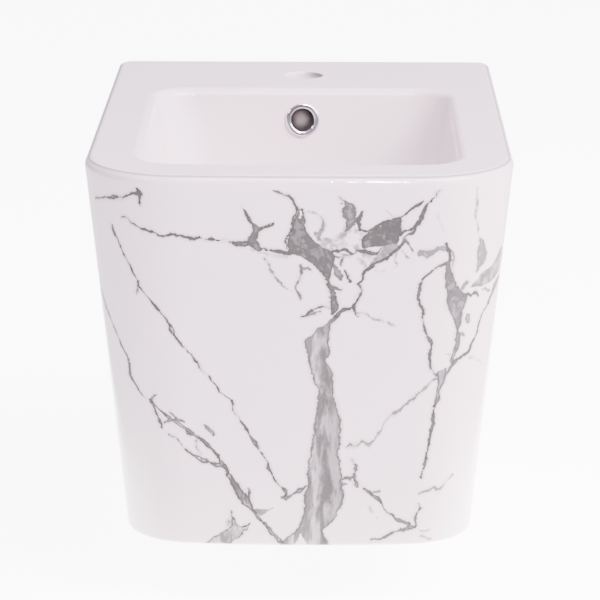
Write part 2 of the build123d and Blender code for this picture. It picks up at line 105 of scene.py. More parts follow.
# The floor glows only where the camera sees it: from this depth on, and as wide as the view, which widens
FLOOR_Z, FLOOR_GLOW = -0.31, 8.0
GLOW_START_Y, GLOW_FULL_Y = -0.55, -0.42
GLOW_WIDTH, GLOW_END, GLOW_WIDENS = 0.34, 0.5, 0.1

# The lamps point at the basin. The tent over the room is brightest this way.
LAMP_AIM = Vector((0, -0.26, 0))
LAMP_COLOUR = (1, 0.81, 0.9)
TENT_WAY, TENT_LIGHT = (0.45, 0.35, 0.75), 1.95
TENT_STOPS = [(0.0, (0.1, 0.095, 0.11)), (0.45, (0.83, 0.72, 0.82)), (0.8, (0.97, 0.83, 0.96))]

# Veins that run down the skirt: column, row and half width in the 600 px frame, row after row
VEINS_DOWN = {
    "far_left": (0.9, [(100, 284, 0.5), (103, 295, 0.8), (107, 309, 0.5), (112, 322, 0.2), (116, 331, 0.6),
        (119, 339, 0.8), (124, 350, 0.5), (128, 358, 1.0), (130, 366, 0.7), (130, 374, 1.0),
        (134, 382, 0.8), (139, 391, 0.5), (144, 397, 0.4), (147, 399, 0.2)]),
    "left_long": (0.95, [(112, 224, 0.2), (113, 229, 0.9), (115, 234, 1.0), (118, 239, 0.6),
        (120, 245, 0.4), (122, 250, 0.1), (124, 255, 0.5), (127, 260, 0.0), (131, 267, 0.4),
        (133, 273, 1.2), (136, 278, 0.1), (138, 281, 0.8), (138, 285, 1.2), (142, 291, 0.3),
        (148, 297, 0.5), (150, 300, 0.8), (155, 306, 1.0), (160, 312, 1.4), (166, 319, 0.8),
        (170, 325, 0.9), (172, 330, 1.9), (173, 333, 1.2), (176, 338, 0.7), (182, 345, 0.8),
        (188, 352, 0.6), (192, 356, 0.2), (196, 361, 1.3), (199, 367, 0.9), (203, 372, 0.4),
        (208, 375, 0.5), (211, 380, 0.4), (217, 386, 0.9), (219, 392, 0.3), (226, 397, 0.0),
        (232, 400, 0.6), (233, 405, 0.9), (233, 410, 0.7), (236, 415, 0.8), (239, 418, 0.4),
        (243, 424, 1.1), (246, 429, 1.1), (249, 434, 0.2), (252, 438, 1.2), (255, 443, 2.0),
        (258, 448, 0.8), (260, 451, 0.2), (262, 454, 0.6), (265, 459, 0.2), (268, 463, 0.9),
        (268, 468, 1.3), (271, 472, 0.3), (273, 476, 0.5), (276, 481, 1.3), (279, 485, 1.0),
        (283, 489, 0.9), (286, 493, 0.8), (286, 498, 1.0)]),
    "left_fork": (0.5, [(138, 284, 0.8), (137, 289, 0.8), (136, 294, 0.4)]),
    "top_left_post": (0.9, [(135, 184, 0.3), (137, 188, 0.9), (139, 191, 1.7), (140, 195, 1.7),
        (140, 200, 0.8), (140, 206, 0.5)]),
    "star_stem": (1.0, [(242, 207, 0.3), (245, 211, 1.1), (248, 217, 1.0), (250, 221, 1.2),
        (253, 225, 1.5)]),
    "lobe_stem": (1.0, [(290, 196, 0.9), (293, 200, 1.2), (295, 204, 1.4), (297, 208, 1.7), (296, 212, 1.2),
        (294, 216, 1.2), (293, 222, 1.1), (293, 227, 1.2), (291, 231, 1.4), (288, 235, 1.0),
        (286, 239, 0.7), (286, 244, 0.6), (287, 249, 0.9)]),
    "loop_side": (0.5, [(320, 216, 0.6), (323, 220, 0.9), (324, 225, 1.3), (322, 229, 1.4), (320, 233, 1.6),
        (319, 237, 1.2), (320, 241, 0.8)]),
    "loop_stub": (0.45, [(316, 232, 1.0), (316, 236, 1.3), (318, 240, 0.8)]),
    "middle_right": (0.9, [(362, 211, 0.8), (361, 214, 1.2), (360, 218, 1.2), (359, 222, 1.6),
        (359, 226, 1.6), (360, 230, 1.2)]),
    "hook": (0.7, [(345, 256, 0.8), (342, 259, 1.0), (341, 263, 0.8), (341, 266, 0.3)]),
    "claw_tail": (0.9, [(345, 270, 0.6), (347, 274, 1.0), (348, 278, 1.2), (350, 281, 1.0),
        (351, 282, 0.3)]),
    "fleck_down": (0.7, [(300, 265, 0.8), (301, 269, 1.0), (301, 274, 1.0), (300, 278, 0.6),
        (298, 282, 0.6), (296, 286, 0.7), (296, 290, 0.6), (298, 294, 1.2), (300, 297, 1.3),
        (300, 300, 0.2)]),
    "fine_left": (0.5, [(264, 258, 0.2), (268, 262, 0.7), (270, 268, 0.5), (272, 272, 1.2), (275, 277, 0.9),
        (279, 282, 0.8), (283, 286, 0.5), (289, 290, 0.4), (293, 291, 0.3)]),
    "squiggle": (0.4, [(395, 248, 0.4), (397, 252, 0.9), (396, 257, 0.9), (394, 260, 1.2), (396, 264, 1.4),
        (398, 266, 0.6)]),
    "squiggle_end": (0.4, [(403, 250, 0.4), (405, 254, 0.8), (408, 258, 1.4)]),
    "right_arm": (0.95, [(442, 186, 1.2), (441, 189, 1.8), (438, 192, 1.4), (435, 197, 1.0),
        (432, 199, 1.0), (429, 203, 0.9), (426, 207, 1.2), (424, 211, 1.6), (422, 215, 1.7),
        (421, 219, 1.6), (418, 223, 1.6), (416, 226, 1.4), (414, 229, 1.2)]),
    "riser": (1.0, [(370, 267, 1.8), (366, 270, 1.4), (364, 272, 1.0), (363, 276, 1.0), (363, 280, 1.2),
        (360, 282, 1.4), (358, 284, 1.5), (360, 287, 1.3), (361, 290, 1.4), (360, 294, 1.3),
        (359, 298, 1.5), (356, 302, 1.5), (354, 305, 1.7), (354, 308, 1.5), (355, 311, 0.8),
        (355, 314, 0.5), (358, 316, 0.3)]),
    "left_strong": (1.0, [(150, 399, 1.1), (153, 403, 0.9), (157, 407, 1.1), (161, 411, 1.3),
        (166, 415, 2.0), (170, 419, 1.3), (175, 421, 1.6), (180, 425, 2.0), (186, 429, 2.6),
        (191, 433, 2.6), (197, 436, 2.6), (202, 440, 2.2), (206, 443, 1.9), (210, 448, 1.4),
        (215, 452, 1.3), (218, 457, 1.4), (221, 462, 1.5), (224, 466, 1.9), (227, 470, 1.4),
        (229, 475, 1.8), (232, 480, 2.1), (235, 484, 3.2), (237, 488, 3.6), (240, 492, 3.8),
        (243, 496, 4.6), (245, 500, 4.8), (247, 504, 3.8), (250, 507, 1.7), (253, 511, 1.3),
        (256, 515, 1.5), (259, 519, 1.4), (264, 523, 1.3), (268, 527, 1.6), (271, 532, 1.6),
        (275, 536, 2.2), (279, 540, 2.8), (283, 543, 2.8), (286, 546, 2.8)]),
    "left_spur": (0.9, [(151, 402, 0.9), (154, 406, 0.8), (156, 411, 1.2), (157, 415, 1.8), (159, 419, 1.5),
        (161, 424, 1.2), (162, 429, 0.6)]),
    "left_link": (0.5, [(196, 440, 0.8), (196, 445, 0.7), (198, 449, 0.6), (201, 454, 0.5)]),
    "fleck_206": (0.7, [(205, 425, 1.2), (208, 428, 2.0), (210, 431, 1.7), (213, 434, 1.0),
        (214, 436, 0.4)]),
    "left_thorn": (0.85, [(248, 488, 0.4), (249, 493, 1.2), (249, 498, 1.6)]),
    "chain_knot": (0.7, [(284, 488, 0.6), (286, 491, 0.8), (286, 496, 1.0), (286, 500, 0.4)]),
    "post_top": (0.85, [(446, 243, 0.8), (447, 247, 1.8), (449, 251, 1.6), (450, 256, 1.7), (450, 261, 1.6),
        (448, 266, 2.2)]),
    "post_side": (0.5, [(452, 252, 0.8), (454, 257, 0.8), (453, 263, 1.2), (453, 267, 0.6)]),
    "body_spot": (0.55, [(468, 314, 1.0), (468, 319, 2.2), (468, 323, 1.0)]),
    "curve": (0.85, [(424, 278, 1.1), (421, 283, 0.9), (420, 288, 1.4), (419, 293, 1.2), (418, 298, 1.1),
        (419, 302, 1.0), (421, 306, 1.4), (423, 309, 1.9), (423, 313, 1.4), (422, 317, 0.5),
        (423, 322, 0.2), (424, 326, 0.8), (426, 332, 1.3), (428, 337, 1.9), (430, 341, 2.6),
        (432, 346, 1.9), (430, 350, 1.2), (429, 355, 1.7), (429, 360, 1.4), (430, 366, 1.0),
        (432, 371, 0.7), (435, 374, 0.9), (437, 376, 1.2)]),
    "edge_line": (0.35, [(478, 184, 0.3), (477, 196, 0.6), (477, 203, 1.2), (476, 210, 1.5),
        (476, 218, 1.5), (478, 227, 0.8), (479, 235, 0.8), (480, 242, 1.4)]),
    "edge_tail": (0.85, [(499, 275, 1.4), (496, 282, 1.6), (494, 288, 1.4), (491, 295, 1.2),
        (489, 300, 1.0), (488, 304, 1.2), (485, 308, 0.8), (482, 313, 0.8), (480, 319, 0.6),
        (478, 326, 0.7), (477, 332, 0.7), (474, 339, 0.7), (471, 345, 0.7), (470, 349, 0.8),
        (469, 351, 0.9)]),
    "down_tail": (0.9, [(435, 404, 1.4), (434, 409, 1.0), (433, 414, 1.0), (433, 419, 1.6), (433, 424, 1.6),
        (431, 429, 1.4), (430, 435, 0.8), (429, 440, 0.7), (428, 447, 0.9), (427, 453, 1.0),
        (426, 459, 1.2), (424, 464, 1.5), (423, 469, 0.8), (421, 475, 0.8), (421, 478, 0.3)]),
    "low_right_stem": (0.7, [(352, 459, 0.7), (354, 463, 1.3), (356, 466, 1.3), (355, 470, 1.2),
        (354, 475, 1.7), (355, 480, 1.5), (356, 485, 2.1), (357, 487, 1.4)]),
    "low_right_fleck": (0.3, [(368, 505, 0.8), (371, 510, 0.9), (375, 515, 1.1), (378, 519, 0.5),
        (381, 523, 0.3)]),
    "low_right_hook": (0.7, [(418, 503, 0.6), (420, 508, 1.4), (417, 512, 0.9), (415, 516, 1.3),
        (415, 521, 0.7), (416, 526, 0.9)]),
    "faint_right": (0.25, [(438, 212, 0.8), (438, 217, 0.4), (442, 229, 0.9), (443, 232, 0.4)]),
}

# Veins that run across the skirt: column, row and half width, column after column
VEINS_ACROSS = {
    "top_left": (0.85, [(95, 198, 0.8), (100, 198, 0.6), (106, 197, 0.3), (111, 197, 1.6), (115, 197, 1.6),
        (120, 197, 0.7), (123, 197, 1.0), (128, 195, 0.6), (132, 193, 1.4), (136, 193, 1.8),
        (140, 194, 1.9), (142, 193, 0.5)]),
    "chain": (0.9, [(121, 217, 0.7), (127, 217, 0.5), (130, 221, 1.1), (132, 223, 1.0), (136, 226, 0.2),
        (141, 229, 0.8), (145, 229, 0.5), (149, 231, 1.0), (154, 232, 1.0), (158, 235, 0.5),
        (163, 236, 0.5), (167, 235, 0.6), (170, 234, 1.4), (175, 234, 1.2), (180, 236, 0.8),
        (184, 237, 1.4), (189, 238, 1.8), (194, 239, 1.0), (199, 237, 0.6), (204, 239, 0.1),
        (208, 239, 1.2), (212, 239, 1.4), (216, 240, 0.2), (224, 240, 0.1), (228, 242, 0.7),
        (234, 243, 1.4), (240, 244, 2.2), (245, 244, 2.8), (250, 243, 2.6), (254, 246, 3.0),
        (258, 249, 2.0), (262, 249, 1.3), (268, 250, 1.1), (275, 251, 1.4), (282, 252, 1.7),
        (288, 253, 2.0), (292, 254, 1.0)]),
    "chain_shade": (0.3, [(244, 247, 0.6), (256, 251, 1.2), (264, 253, 1.4), (275, 255, 1.6),
        (288, 257, 1.0)]),
    "star_arm": (0.95, [(256, 230, 3.0), (260, 229, 2.6), (264, 228, 1.8), (268, 226, 1.3), (272, 225, 1.0),
        (274, 224, 0.3)]),
    "lobe_whisker": (0.7, [(273, 190, 0.2), (279, 192, 0.6), (284, 195, 0.8), (289, 196, 1.0),
        (292, 198, 1.1)]),
    "loop": (0.35, [(306, 212, 0.3), (311, 212, 0.7), (315, 213, 0.8), (319, 215, 0.9)]),
    "middle_whisker": (0.55, [(338, 197, 0.4), (341, 199, 0.8), (344, 202, 1.1)]),
    "middle_barb": (0.55, [(340, 203, 0.6), (343, 203, 0.9), (346, 203, 0.6)]),
    "cross_line": (0.9, [(332, 252, 1.4), (336, 251, 1.2), (340, 251, 1.4), (344, 250, 1.4),
        (348, 251, 1.3), (351, 254, 1.6), (354, 254, 0.8), (357, 251, 0.7), (361, 251, 1.6),
        (365, 251, 1.5), (369, 253, 1.8), (373, 254, 2.0), (377, 254, 1.5), (380, 251, 1.2),
        (381, 248, 1.0)]),
    "cross_low": (0.55, [(334, 256, 1.0), (338, 257, 1.0), (342, 256, 0.9), (346, 255, 1.0),
        (350, 255, 1.2)]),
    "fleck_across": (0.55, [(300, 267, 0.6), (304, 269, 0.9), (307, 268, 1.2), (310, 269, 1.0),
        (312, 271, 0.5)]),
    "squiggle_line": (0.3, [(370, 270, 0.5), (376, 271, 0.6), (382, 271, 0.6), (388, 270, 0.5),
        (393, 268, 0.5), (397, 266, 0.5)]),
    "keel": (1.0, [(366, 270, 0.8), (370, 267, 2.0), (374, 265, 1.5), (378, 262, 1.2), (382, 260, 1.2),
        (387, 258, 1.2), (391, 254, 1.3), (395, 251, 1.4), (399, 248, 1.6), (402, 244, 1.8),
        (405, 241, 1.4)]),
    "lobe_rim": (0.95, [(358, 230, 0.6), (361, 230, 1.2), (366, 231, 1.2), (371, 230, 1.3), (376, 227, 1.4),
        (381, 224, 1.4), (386, 222, 1.4), (391, 220, 1.5), (396, 219, 1.8), (400, 219, 1.8),
        (403, 217, 1.2), (406, 214, 1.0), (410, 210, 1.1), (414, 207, 1.1), (418, 205, 1.0),
        (421, 203, 1.0), (423, 202, 0.4)]),
    "arm_root": (1.0, [(399, 236, 1.6), (402, 233, 2.0), (405, 231, 1.6), (408, 230, 1.0), (412, 229, 1.3),
        (415, 226, 1.7), (417, 223, 2.0)]),
    "arm_low": (0.85, [(403, 237, 1.0), (406, 235, 1.0), (410, 234, 1.2), (413, 233, 1.4),
        (416, 229, 1.6)]),
    "spur_top": (0.4, [(385, 210, 0.4), (389, 213, 0.6), (393, 217, 0.8), (396, 219, 0.5)]),
    "lobe_tail": (0.7, [(403, 240, 2.0), (406, 241, 1.6), (409, 243, 1.2), (411, 247, 1.0),
        (413, 251, 0.8)]),
    "neck_tick": (0.85, [(333, 286, 1.0), (336, 288, 1.2), (340, 290, 0.8), (342, 290, 0.3)]),
    "neck_left": (0.9, [(300, 317, 0.3), (304, 316, 0.9), (307, 314, 1.0), (311, 311, 0.9), (315, 309, 0.8),
        (320, 307, 0.9), (325, 307, 0.8), (330, 308, 0.8), (334, 309, 0.8)]),
    "neck_left_low": (0.55, [(306, 316, 0.6), (312, 314, 0.8), (317, 312, 0.6), (321, 312, 0.3)]),
    "neck_right": (1.0, [(334, 317, 1.2), (337, 315, 2.6), (340, 313, 2.0), (343, 310, 1.6),
        (347, 309, 1.1), (352, 308, 1.0), (355, 308, 1.0)]),
    "light_right": (0.35, [(352, 312, 0.6), (357, 313, 1.1), (362, 313, 1.4), (367, 314, 1.6),
        (371, 318, 0.5), (376, 320, 0.6), (381, 321, 1.6), (385, 322, 0.5), (389, 324, 1.1),
        (394, 325, 1.0), (396, 326, 0.3)]),
    "top_barb": (0.7, [(150, 400, 0.8), (153, 397, 1.2), (156, 395, 0.3)]),
    "barb_two": (0.7, [(170, 412, 0.4), (174, 416, 0.8), (177, 419, 0.8)]),
    "barb_three": (0.78, [(178, 420, 0.8), (182, 421, 1.2), (185, 422, 0.8)]),
    "barb_four": (0.78, [(184, 430, 0.8), (188, 434, 1.2), (192, 435, 1.0)]),
    "spur_link": (0.78, [(163, 423, 0.5), (167, 421, 1.0), (171, 420, 1.0), (175, 420, 0.8)]),
    "lower_branch": (0.85, [(169, 435, 0.5), (174, 437, 0.6), (178, 439, 0.8), (181, 444, 0.8),
        (184, 448, 0.8), (187, 451, 1.3), (190, 453, 0.9), (195, 456, 0.9), (199, 458, 2.2),
        (203, 460, 2.0), (208, 461, 1.4), (213, 464, 1.0), (217, 465, 1.6), (221, 465, 1.8),
        (226, 468, 1.6)]),
    "low_claw": (1.0, [(243, 528, 1.8), (246, 528, 2.0), (248, 526, 1.6), (250, 523, 0.6)]),
    "low_triangle": (0.45, [(255, 510, 1.0), (259, 513, 3.6), (263, 512, 2.8), (268, 510, 1.4),
        (273, 508, 0.6)]),
    "low_chain": (0.78, [(281, 497, 0.5), (285, 498, 1.4), (289, 497, 0.8), (293, 494, 1.0),
        (297, 491, 1.7), (300, 491, 2.0), (303, 489, 1.0), (306, 486, 0.8), (310, 486, 0.8)]),
    "post_patch": (0.5, [(418, 254, 1.8), (421, 253, 2.2), (425, 254, 3.6), (429, 254, 3.4),
        (433, 252, 2.4), (437, 249, 1.6), (441, 249, 1.6), (445, 248, 2.4), (448, 249, 2.0)]),
    "body_horn": (0.5, [(461, 290, 1.2), (463, 287, 1.6), (466, 284, 1.9), (469, 282, 0.8)]),
    "body_arm": (0.78, [(463, 297, 1.6), (468, 294, 2.0), (471, 296, 1.6), (473, 293, 1.6), (476, 292, 1.4),
        (479, 296, 1.0)]),
    "curve_top": (0.85, [(422, 280, 1.0), (425, 277, 1.3), (429, 274, 1.1), (433, 270, 1.0),
        (437, 267, 1.0), (441, 265, 1.0), (445, 264, 1.3), (448, 264, 1.4)]),
    "edge_m": (0.45, [(482, 289, 0.8), (485, 288, 1.4), (488, 291, 1.6), (490, 290, 1.2)]),
    "edge_return": (0.9, [(441, 378, 2.6), (444, 375, 2.6), (447, 372, 1.6), (450, 368, 1.8),
        (453, 364, 1.4), (456, 361, 2.2), (459, 358, 1.6), (463, 355, 1.2), (467, 353, 1.0),
        (470, 351, 0.8)]),
    "edge_faint": (0.25, [(468, 358, 0.6), (473, 357, 1.6), (476, 358, 0.9), (480, 362, 0.5),
        (484, 364, 0.4)]),
    "whisker_left": (0.4, [(442, 355, 0.4), (447, 354, 0.7), (452, 354, 0.9), (456, 354, 0.6)]),
    "whisker_right": (0.5, [(460, 333, 1.0), (463, 334, 1.2), (465, 335, 0.5)]),
    "diagonal": (0.5, [(346, 448, 0.5), (350, 445, 1.3), (354, 446, 0.9), (358, 445, 0.9), (362, 441, 1.3),
        (366, 443, 0.8), (370, 445, 1.2), (374, 440, 1.0), (377, 435, 0.9), (381, 431, 1.0),
        (384, 423, 0.2), (387, 420, 1.1), (390, 416, 0.2), (393, 414, 1.4), (397, 412, 1.4),
        (401, 409, 1.3), (405, 405, 0.3), (408, 402, 1.3), (411, 400, 1.1), (414, 398, 1.9),
        (417, 395, 1.7), (421, 392, 0.9), (424, 389, 1.7), (427, 387, 1.3), (430, 383, 0.6),
        (433, 380, 1.1), (436, 378, 0.6)]),
    "trunk_twig": (0.7, [(341, 480, 0.6), (345, 478, 1.0), (350, 478, 1.6), (354, 476, 1.6)]),
    "trunk_twig_low": (0.45, [(340, 488, 0.8), (344, 484, 1.0), (347, 484, 0.8)]),
    "low_right": (0.78, [(363, 488, 0.6), (367, 491, 1.3), (371, 493, 1.7), (375, 497, 1.6),
        (379, 499, 2.0), (382, 503, 0.8), (385, 510, 0.8), (389, 513, 0.8), (393, 515, 0.9),
        (397, 520, 1.0), (402, 521, 1.1), (406, 523, 1.6), (409, 526, 2.6), (412, 527, 1.4),
        (416, 527, 1.1)]),
    "low_right_barb": (0.5, [(372, 493, 0.8), (376, 492, 1.1), (380, 491, 1.1)]),
    "low_right_foot": (0.7, [(370, 540, 0.8), (375, 539, 1.1), (380, 539, 0.6), (385, 537, 1.3),
        (390, 534, 1.1), (395, 532, 0.9), (400, 530, 1.3), (404, 530, 2.2), (408, 528, 2.8),
        (410, 526, 1.5)]),
    "low_right_end": (0.35, [(418, 529, 0.9), (422, 531, 1.3), (426, 531, 0.8), (430, 529, 0.6)]),
    "low_right_edge": (0.4, [(420, 536, 0.9), (424, 537, 1.5), (427, 538, 1.4), (431, 539, 1.0)]),
    "low_right_twig": (0.5, [(418, 494, 0.5), (422, 492, 1.1), (427, 491, 0.9), (431, 489, 1.0),
        (434, 487, 1.3), (437, 490, 0.9), (440, 489, 0.9), (443, 485, 0.8), (446, 481, 0.7),
        (450, 477, 0.7), (453, 474, 0.5)]),
}

# Wide stone patches: row, left column and right column, row after row
PATCHES = {
    "star": (0.8, [(222, 250, 253), (226, 252, 258), (229, 252, 262), (232, 252, 260), (236, 250, 258),
        (240, 248, 257), (244, 246, 259), (248, 252, 261), (250, 257, 262)]),
    "lobe": (0.88, [(209, 299, 303), (215, 296, 304), (220, 294, 305), (225, 293, 305), (230, 292, 306),
        (234, 290, 308), (238, 288, 311), (242, 287, 316), (246, 287, 320), (250, 288, 330),
        (253, 289, 334), (256, 298, 335), (259, 304, 334), (262, 309, 334), (266, 315, 333),
        (270, 319, 332), (274, 321, 331), (278, 324, 330), (282, 326, 329), (285, 327, 331),
        (288, 329, 334), (292, 330, 336), (297, 330, 337), (302, 330, 338), (306, 330, 339),
        (310, 330, 338), (313, 331, 335), (315, 331, 333)]),
    "trunk": (0.7, [(314, 335, 341), (317, 333, 339), (320, 330, 335), (323, 326, 333), (326, 321, 331),
        (328, 317, 330), (332, 316, 329), (336, 311, 329), (339, 306, 329), (341, 304, 328),
        (345, 305, 329), (350, 306, 330), (355, 308, 329), (360, 309, 326), (365, 310, 329),
        (370, 311, 331), (375, 312, 333), (380, 313, 333), (385, 315, 333), (390, 318, 333),
        (398, 318, 335), (402, 317, 336), (408, 317, 338), (414, 316, 339), (420, 315, 340),
        (428, 314, 341), (436, 313, 341), (444, 312, 341), (448, 311, 340), (451, 310, 337),
        (456, 310, 338), (462, 308, 340), (468, 308, 341), (475, 307, 342), (482, 309, 342),
        (488, 308, 343), (494, 305, 344), (500, 304, 343), (505, 304, 342), (510, 304, 339),
        (515, 303, 337), (520, 302, 333), (525, 300, 328), (529, 297, 323), (532, 293, 323),
        (536, 288, 325), (540, 284, 327), (543, 280, 328), (547, 278, 329)]),
    "middle_lobe": (0.75, [(200, 343, 345), (203, 344, 352), (205, 344, 355), (208, 343, 356),
        (212, 341, 356), (216, 342, 356), (220, 345, 357), (224, 346, 355), (228, 346, 351),
        (231, 345, 347)]),
    "claw": (0.7, [(265, 332, 336), (268, 333, 338), (271, 334, 340), (274, 335, 342), (277, 338, 343),
        (280, 340, 342)]),
    "right_lobe": (0.95, [(218, 397, 401), (220, 391, 403), (223, 385, 402), (226, 380, 402),
        (229, 374, 402), (232, 368, 402), (236, 364, 400), (240, 362, 399), (243, 362, 398),
        (246, 362, 384), (248, 362, 368)]),
    "lobe_keel": (0.42, [(244, 384, 400), (248, 383, 397), (252, 380, 393), (256, 376, 388),
        (260, 372, 381), (264, 369, 375)]),
    "post": (0.7, [(264, 446, 450), (270, 445, 452), (275, 445, 453), (279, 445, 453), (283, 446, 456),
        (288, 446, 458), (292, 447, 460), (296, 447, 465), (299, 447, 467), (303, 447, 467),
        (307, 447, 465), (311, 448, 464), (314, 451, 463), (318, 453, 462), (322, 454, 461),
        (326, 455, 460), (330, 456, 459), (335, 456, 460), (340, 455, 460), (345, 455, 460),
        (350, 453, 458), (355, 452, 456), (359, 451, 454), (363, 451, 453)]),
    "edge_patch": (0.5, [(238, 479, 481), (243, 480, 484), (248, 478, 485), (254, 477, 486),
        (259, 478, 486), (264, 477, 485), (268, 477, 480), (272, 476, 478)]),
    "edge_wedge": (0.38, [(248, 500, 502), (254, 498, 502), (260, 495, 501), (266, 491, 501),
        (270, 484, 500), (275, 480, 499), (280, 476, 498), (284, 472, 495), (288, 469, 492)]),
    "knot": (0.75, [(369, 445, 447), (371, 437, 447), (374, 436, 446), (377, 438, 446), (381, 438, 444),
        (385, 438, 443), (389, 437, 441), (393, 436, 440), (397, 435, 440), (401, 435, 439),
        (405, 434, 436)]),
    "low_left": (0.75, [(511, 231, 232), (516, 231, 233), (521, 232, 235), (524, 232, 237), (526, 231, 241),
        (528, 228, 246), (530, 224, 244), (532, 222, 243), (535, 217, 242), (538, 212, 238),
        (541, 208, 231), (545, 205, 229)]),
    "low_left_shade": (0.3, [(516, 229, 232), (521, 227, 233), (526, 226, 233), (530, 225, 230)]),
    "middle_cloud": (0.2, [(214, 352, 357), (222, 346, 359), (230, 341, 362), (238, 334, 364),
        (244, 322, 366), (249, 322, 368), (254, 330, 362)]),
    "loop_cloud": (0.22, [(238, 322, 331), (242, 320, 334), (247, 318, 336), (251, 322, 334)]),
    "right_cloud": (0.16, [(250, 360, 372), (258, 356, 374), (264, 360, 370), (270, 364, 368)]),
}

# White gaps inside the patches, in the same way
GAPS = {
    "foot_gap": [(534, 299, 301), (538, 298, 303), (541, 296, 305), (546, 294, 307)],
    "lobe_gap": [(209, 300, 301), (214, 300, 302), (218, 299, 301)],
}


class Value:
    """A shader socket that can be used in sums. Each sum adds its Math node."""

    def __init__(self, finish, socket):
        self.finish = finish
        self.socket = socket

    def sum(self, operation, first, *others):
        inputs = dict(enumerate((first, *others)))
        return self.finish.node("ShaderNodeMath", {"operation": operation}, inputs)

    def __add__(self, other):
        return self.sum("ADD", self, other)

    def __sub__(self, other):
        return self.sum("SUBTRACT", self, other)

    def __rsub__(self, other):
        return self.sum("SUBTRACT", other, self)

    def __mul__(self, other):
        return self.sum("MULTIPLY", self, other)

    def __truediv__(self, other):
        return self.sum("DIVIDE", self, other)

    def __gt__(self, other):
        return self.sum("GREATER_THAN", self, other)

    def __lt__(self, other):
        return self.sum("LESS_THAN", self, other)

    def __abs__(self):
        return self.sum("ABSOLUTE", self)

    __radd__ = __add__
    __rmul__ = __mul__


class Finish:
    """A procedural material in the making, on Object coordinates."""

    def __init__(self, name, colour, roughness, metallic=0.0):
        self.material = bpy.data.materials.new(name)
        self.material.use_nodes = True
        self.tree = self.material.node_tree
        self.surface = self.tree.nodes["Principled BSDF"]
        self.set({"Base Color": (*colour, 1), "Roughness": roughness, "Metallic": metallic})
        self.place = self.node("ShaderNodeTexCoord", {}, {}, "Object")

    def node(self, kind, settings, inputs, output=0):
        """Adds a node: its settings first, then the value or the link of each socket."""
        made = self.tree.nodes.new(kind)
        for name, value in settings.items():
            if name == "stops":
                set_stops(made.color_ramp, value)
            elif name == "points":
                set_points(made.mapping, value)
            else:
                setattr(made, name, value)
        for key, value in inputs.items():
            if isinstance(value, Value):
                self.tree.links.new(value.socket, made.inputs[key])
            else:
                made.inputs[key].default_value = value
        return Value(self, made.outputs[output])

    def set(self, inputs):
        """Sets or links the surface's own sockets."""
        for key, value in inputs.items():
            if isinstance(value, Value):
                self.tree.links.new(value.socket, self.surface.inputs[key])
            else:
                self.surface.inputs[key].default_value = value

    def mix(self, share, first, second):
        """A colour between two colours."""
        first, second = (c if isinstance(c, Value) else (*c, 1) for c in (first, second))
        inputs = {"Factor": share, 6: first, 7: second}
        return self.node("ShaderNodeMix", {"data_type": "RGBA"}, inputs, 2)

    def noise(self, size, detail=2.0, stretch=(1, 1, 1), rough=0.5, swirl=0.0):
        """Noise from 0 to 1 with features of about that size, in metres."""
        scale = tuple(s / size for s in stretch)
        spread = self.node("ShaderNodeVectorMath", {"operation": "MULTIPLY"}, {0: self.place, 1: scale})
        inputs = {"Vector": spread, "Scale": 1.0, "Detail": detail, "Roughness": rough, "Distortion": swirl}
        return self.node("ShaderNodeTexNoise", {}, inputs, 0)

    def step(self, value, low, high, smooth=True):
        """0 under low, 1 over high, and a soft step between."""
        settings = {"interpolation_type": "SMOOTHSTEP" if smooth else "LINEAR"}
        inputs = {"Value": value, "From Min": low, "From Max": high}
        return self.node("ShaderNodeMapRange", settings, inputs)

    def bump(self, height, depth, strength=1.0):
        """Raises the surface by a height from 0 to 1 times a depth in metres."""
        inputs = {"Height": height, "Distance": depth, "Strength": strength}
        self.set({"Normal": self.node("ShaderNodeBump", {}, inputs)})


def set_stops(ramp, stops):
    while len(ramp.elements) < len(stops):
        ramp.elements.new(1.0)
    for element, (place, colour) in zip(ramp.elements, stops):
        element.position = place
        element.color = (*colour, 1)


def set_points(mapping, points):
    """A curve of straight runs through the points."""
    mapping.use_clip = False
    mapping.extend = "HORIZONTAL"
    curve = mapping.curves[0]
    curve.points[0].location = points[0]
    curve.points[1].location = points[-1]
    for x, y in points[1:-1]:
        curve.points.new(x, y)
    for point in curve.points:
        point.handle_type = "VECTOR"
    mapping.update()


def deselect():
    bpy.ops.object.select_all(action="DESELECT")


def camera_axes():
    forward = Vector((sin(YAW) * cos(PITCH), cos(YAW) * cos(PITCH), -sin(PITCH)))
    level = Vector((cos(YAW), -sin(YAW), 0))
    upright = level.cross(forward)
    right = cos(ROLL) * level + sin(ROLL) * upright
    up = cos(ROLL) * upright - sin(ROLL) * level
    return right, up, forward


def add_camera():
    right, up, forward = camera_axes()
    turn = Matrix((right, up, -forward)).transposed().to_4x4()
    bpy.ops.object.camera_add()
    camera = bpy.context.object
    camera.matrix_world = Matrix.Translation(CAMERA_AT) @ turn
    camera.data.sensor_width = SENSOR_MM
    camera.data.lens = FOCAL_PX / FRAME_PX * SENSOR_MM
    camera.data.shift_x = 0.5 - AXIS_COLUMN / FRAME_PX
    camera.data.clip_end = 50
    bpy.context.scene.camera = camera


def skirt_shape(z):
    """Corner centre and corner radius of the skirt at height z, all in mm."""
    share = (DECK_Z - z) / (DECK_Z - FOOT_Z)
    corner_r = CORNER_R + (FOOT_CORNER_R - CORNER_R) * share
    centre_x = HALF_WIDTH - FOOT_INSET * share - corner_r
    bow_r = BOW_R + (FOOT_BOW_R - BOW_R) * share
    centre_y = FRONT_Y + FOOT_RECESS * share + centre_x**2 / (2 * bow_r) + corner_r
    return centre_x, centre_y, corner_r


def round_skirt(point):
    """Distance round the skirt from its middle line, and height, of a point on it, in mm."""
    x, y, z = point / MM
    centre_x, centre_y, corner_r = skirt_shape(z)
    turn = atan2(max(abs(x) - centre_x, 0), max(centre_y - y, 0.001))
    distance = min(abs(x), centre_x) + corner_r * turn + max(y - centre_y, 0)
    return (distance if x > 0 else -distance), z


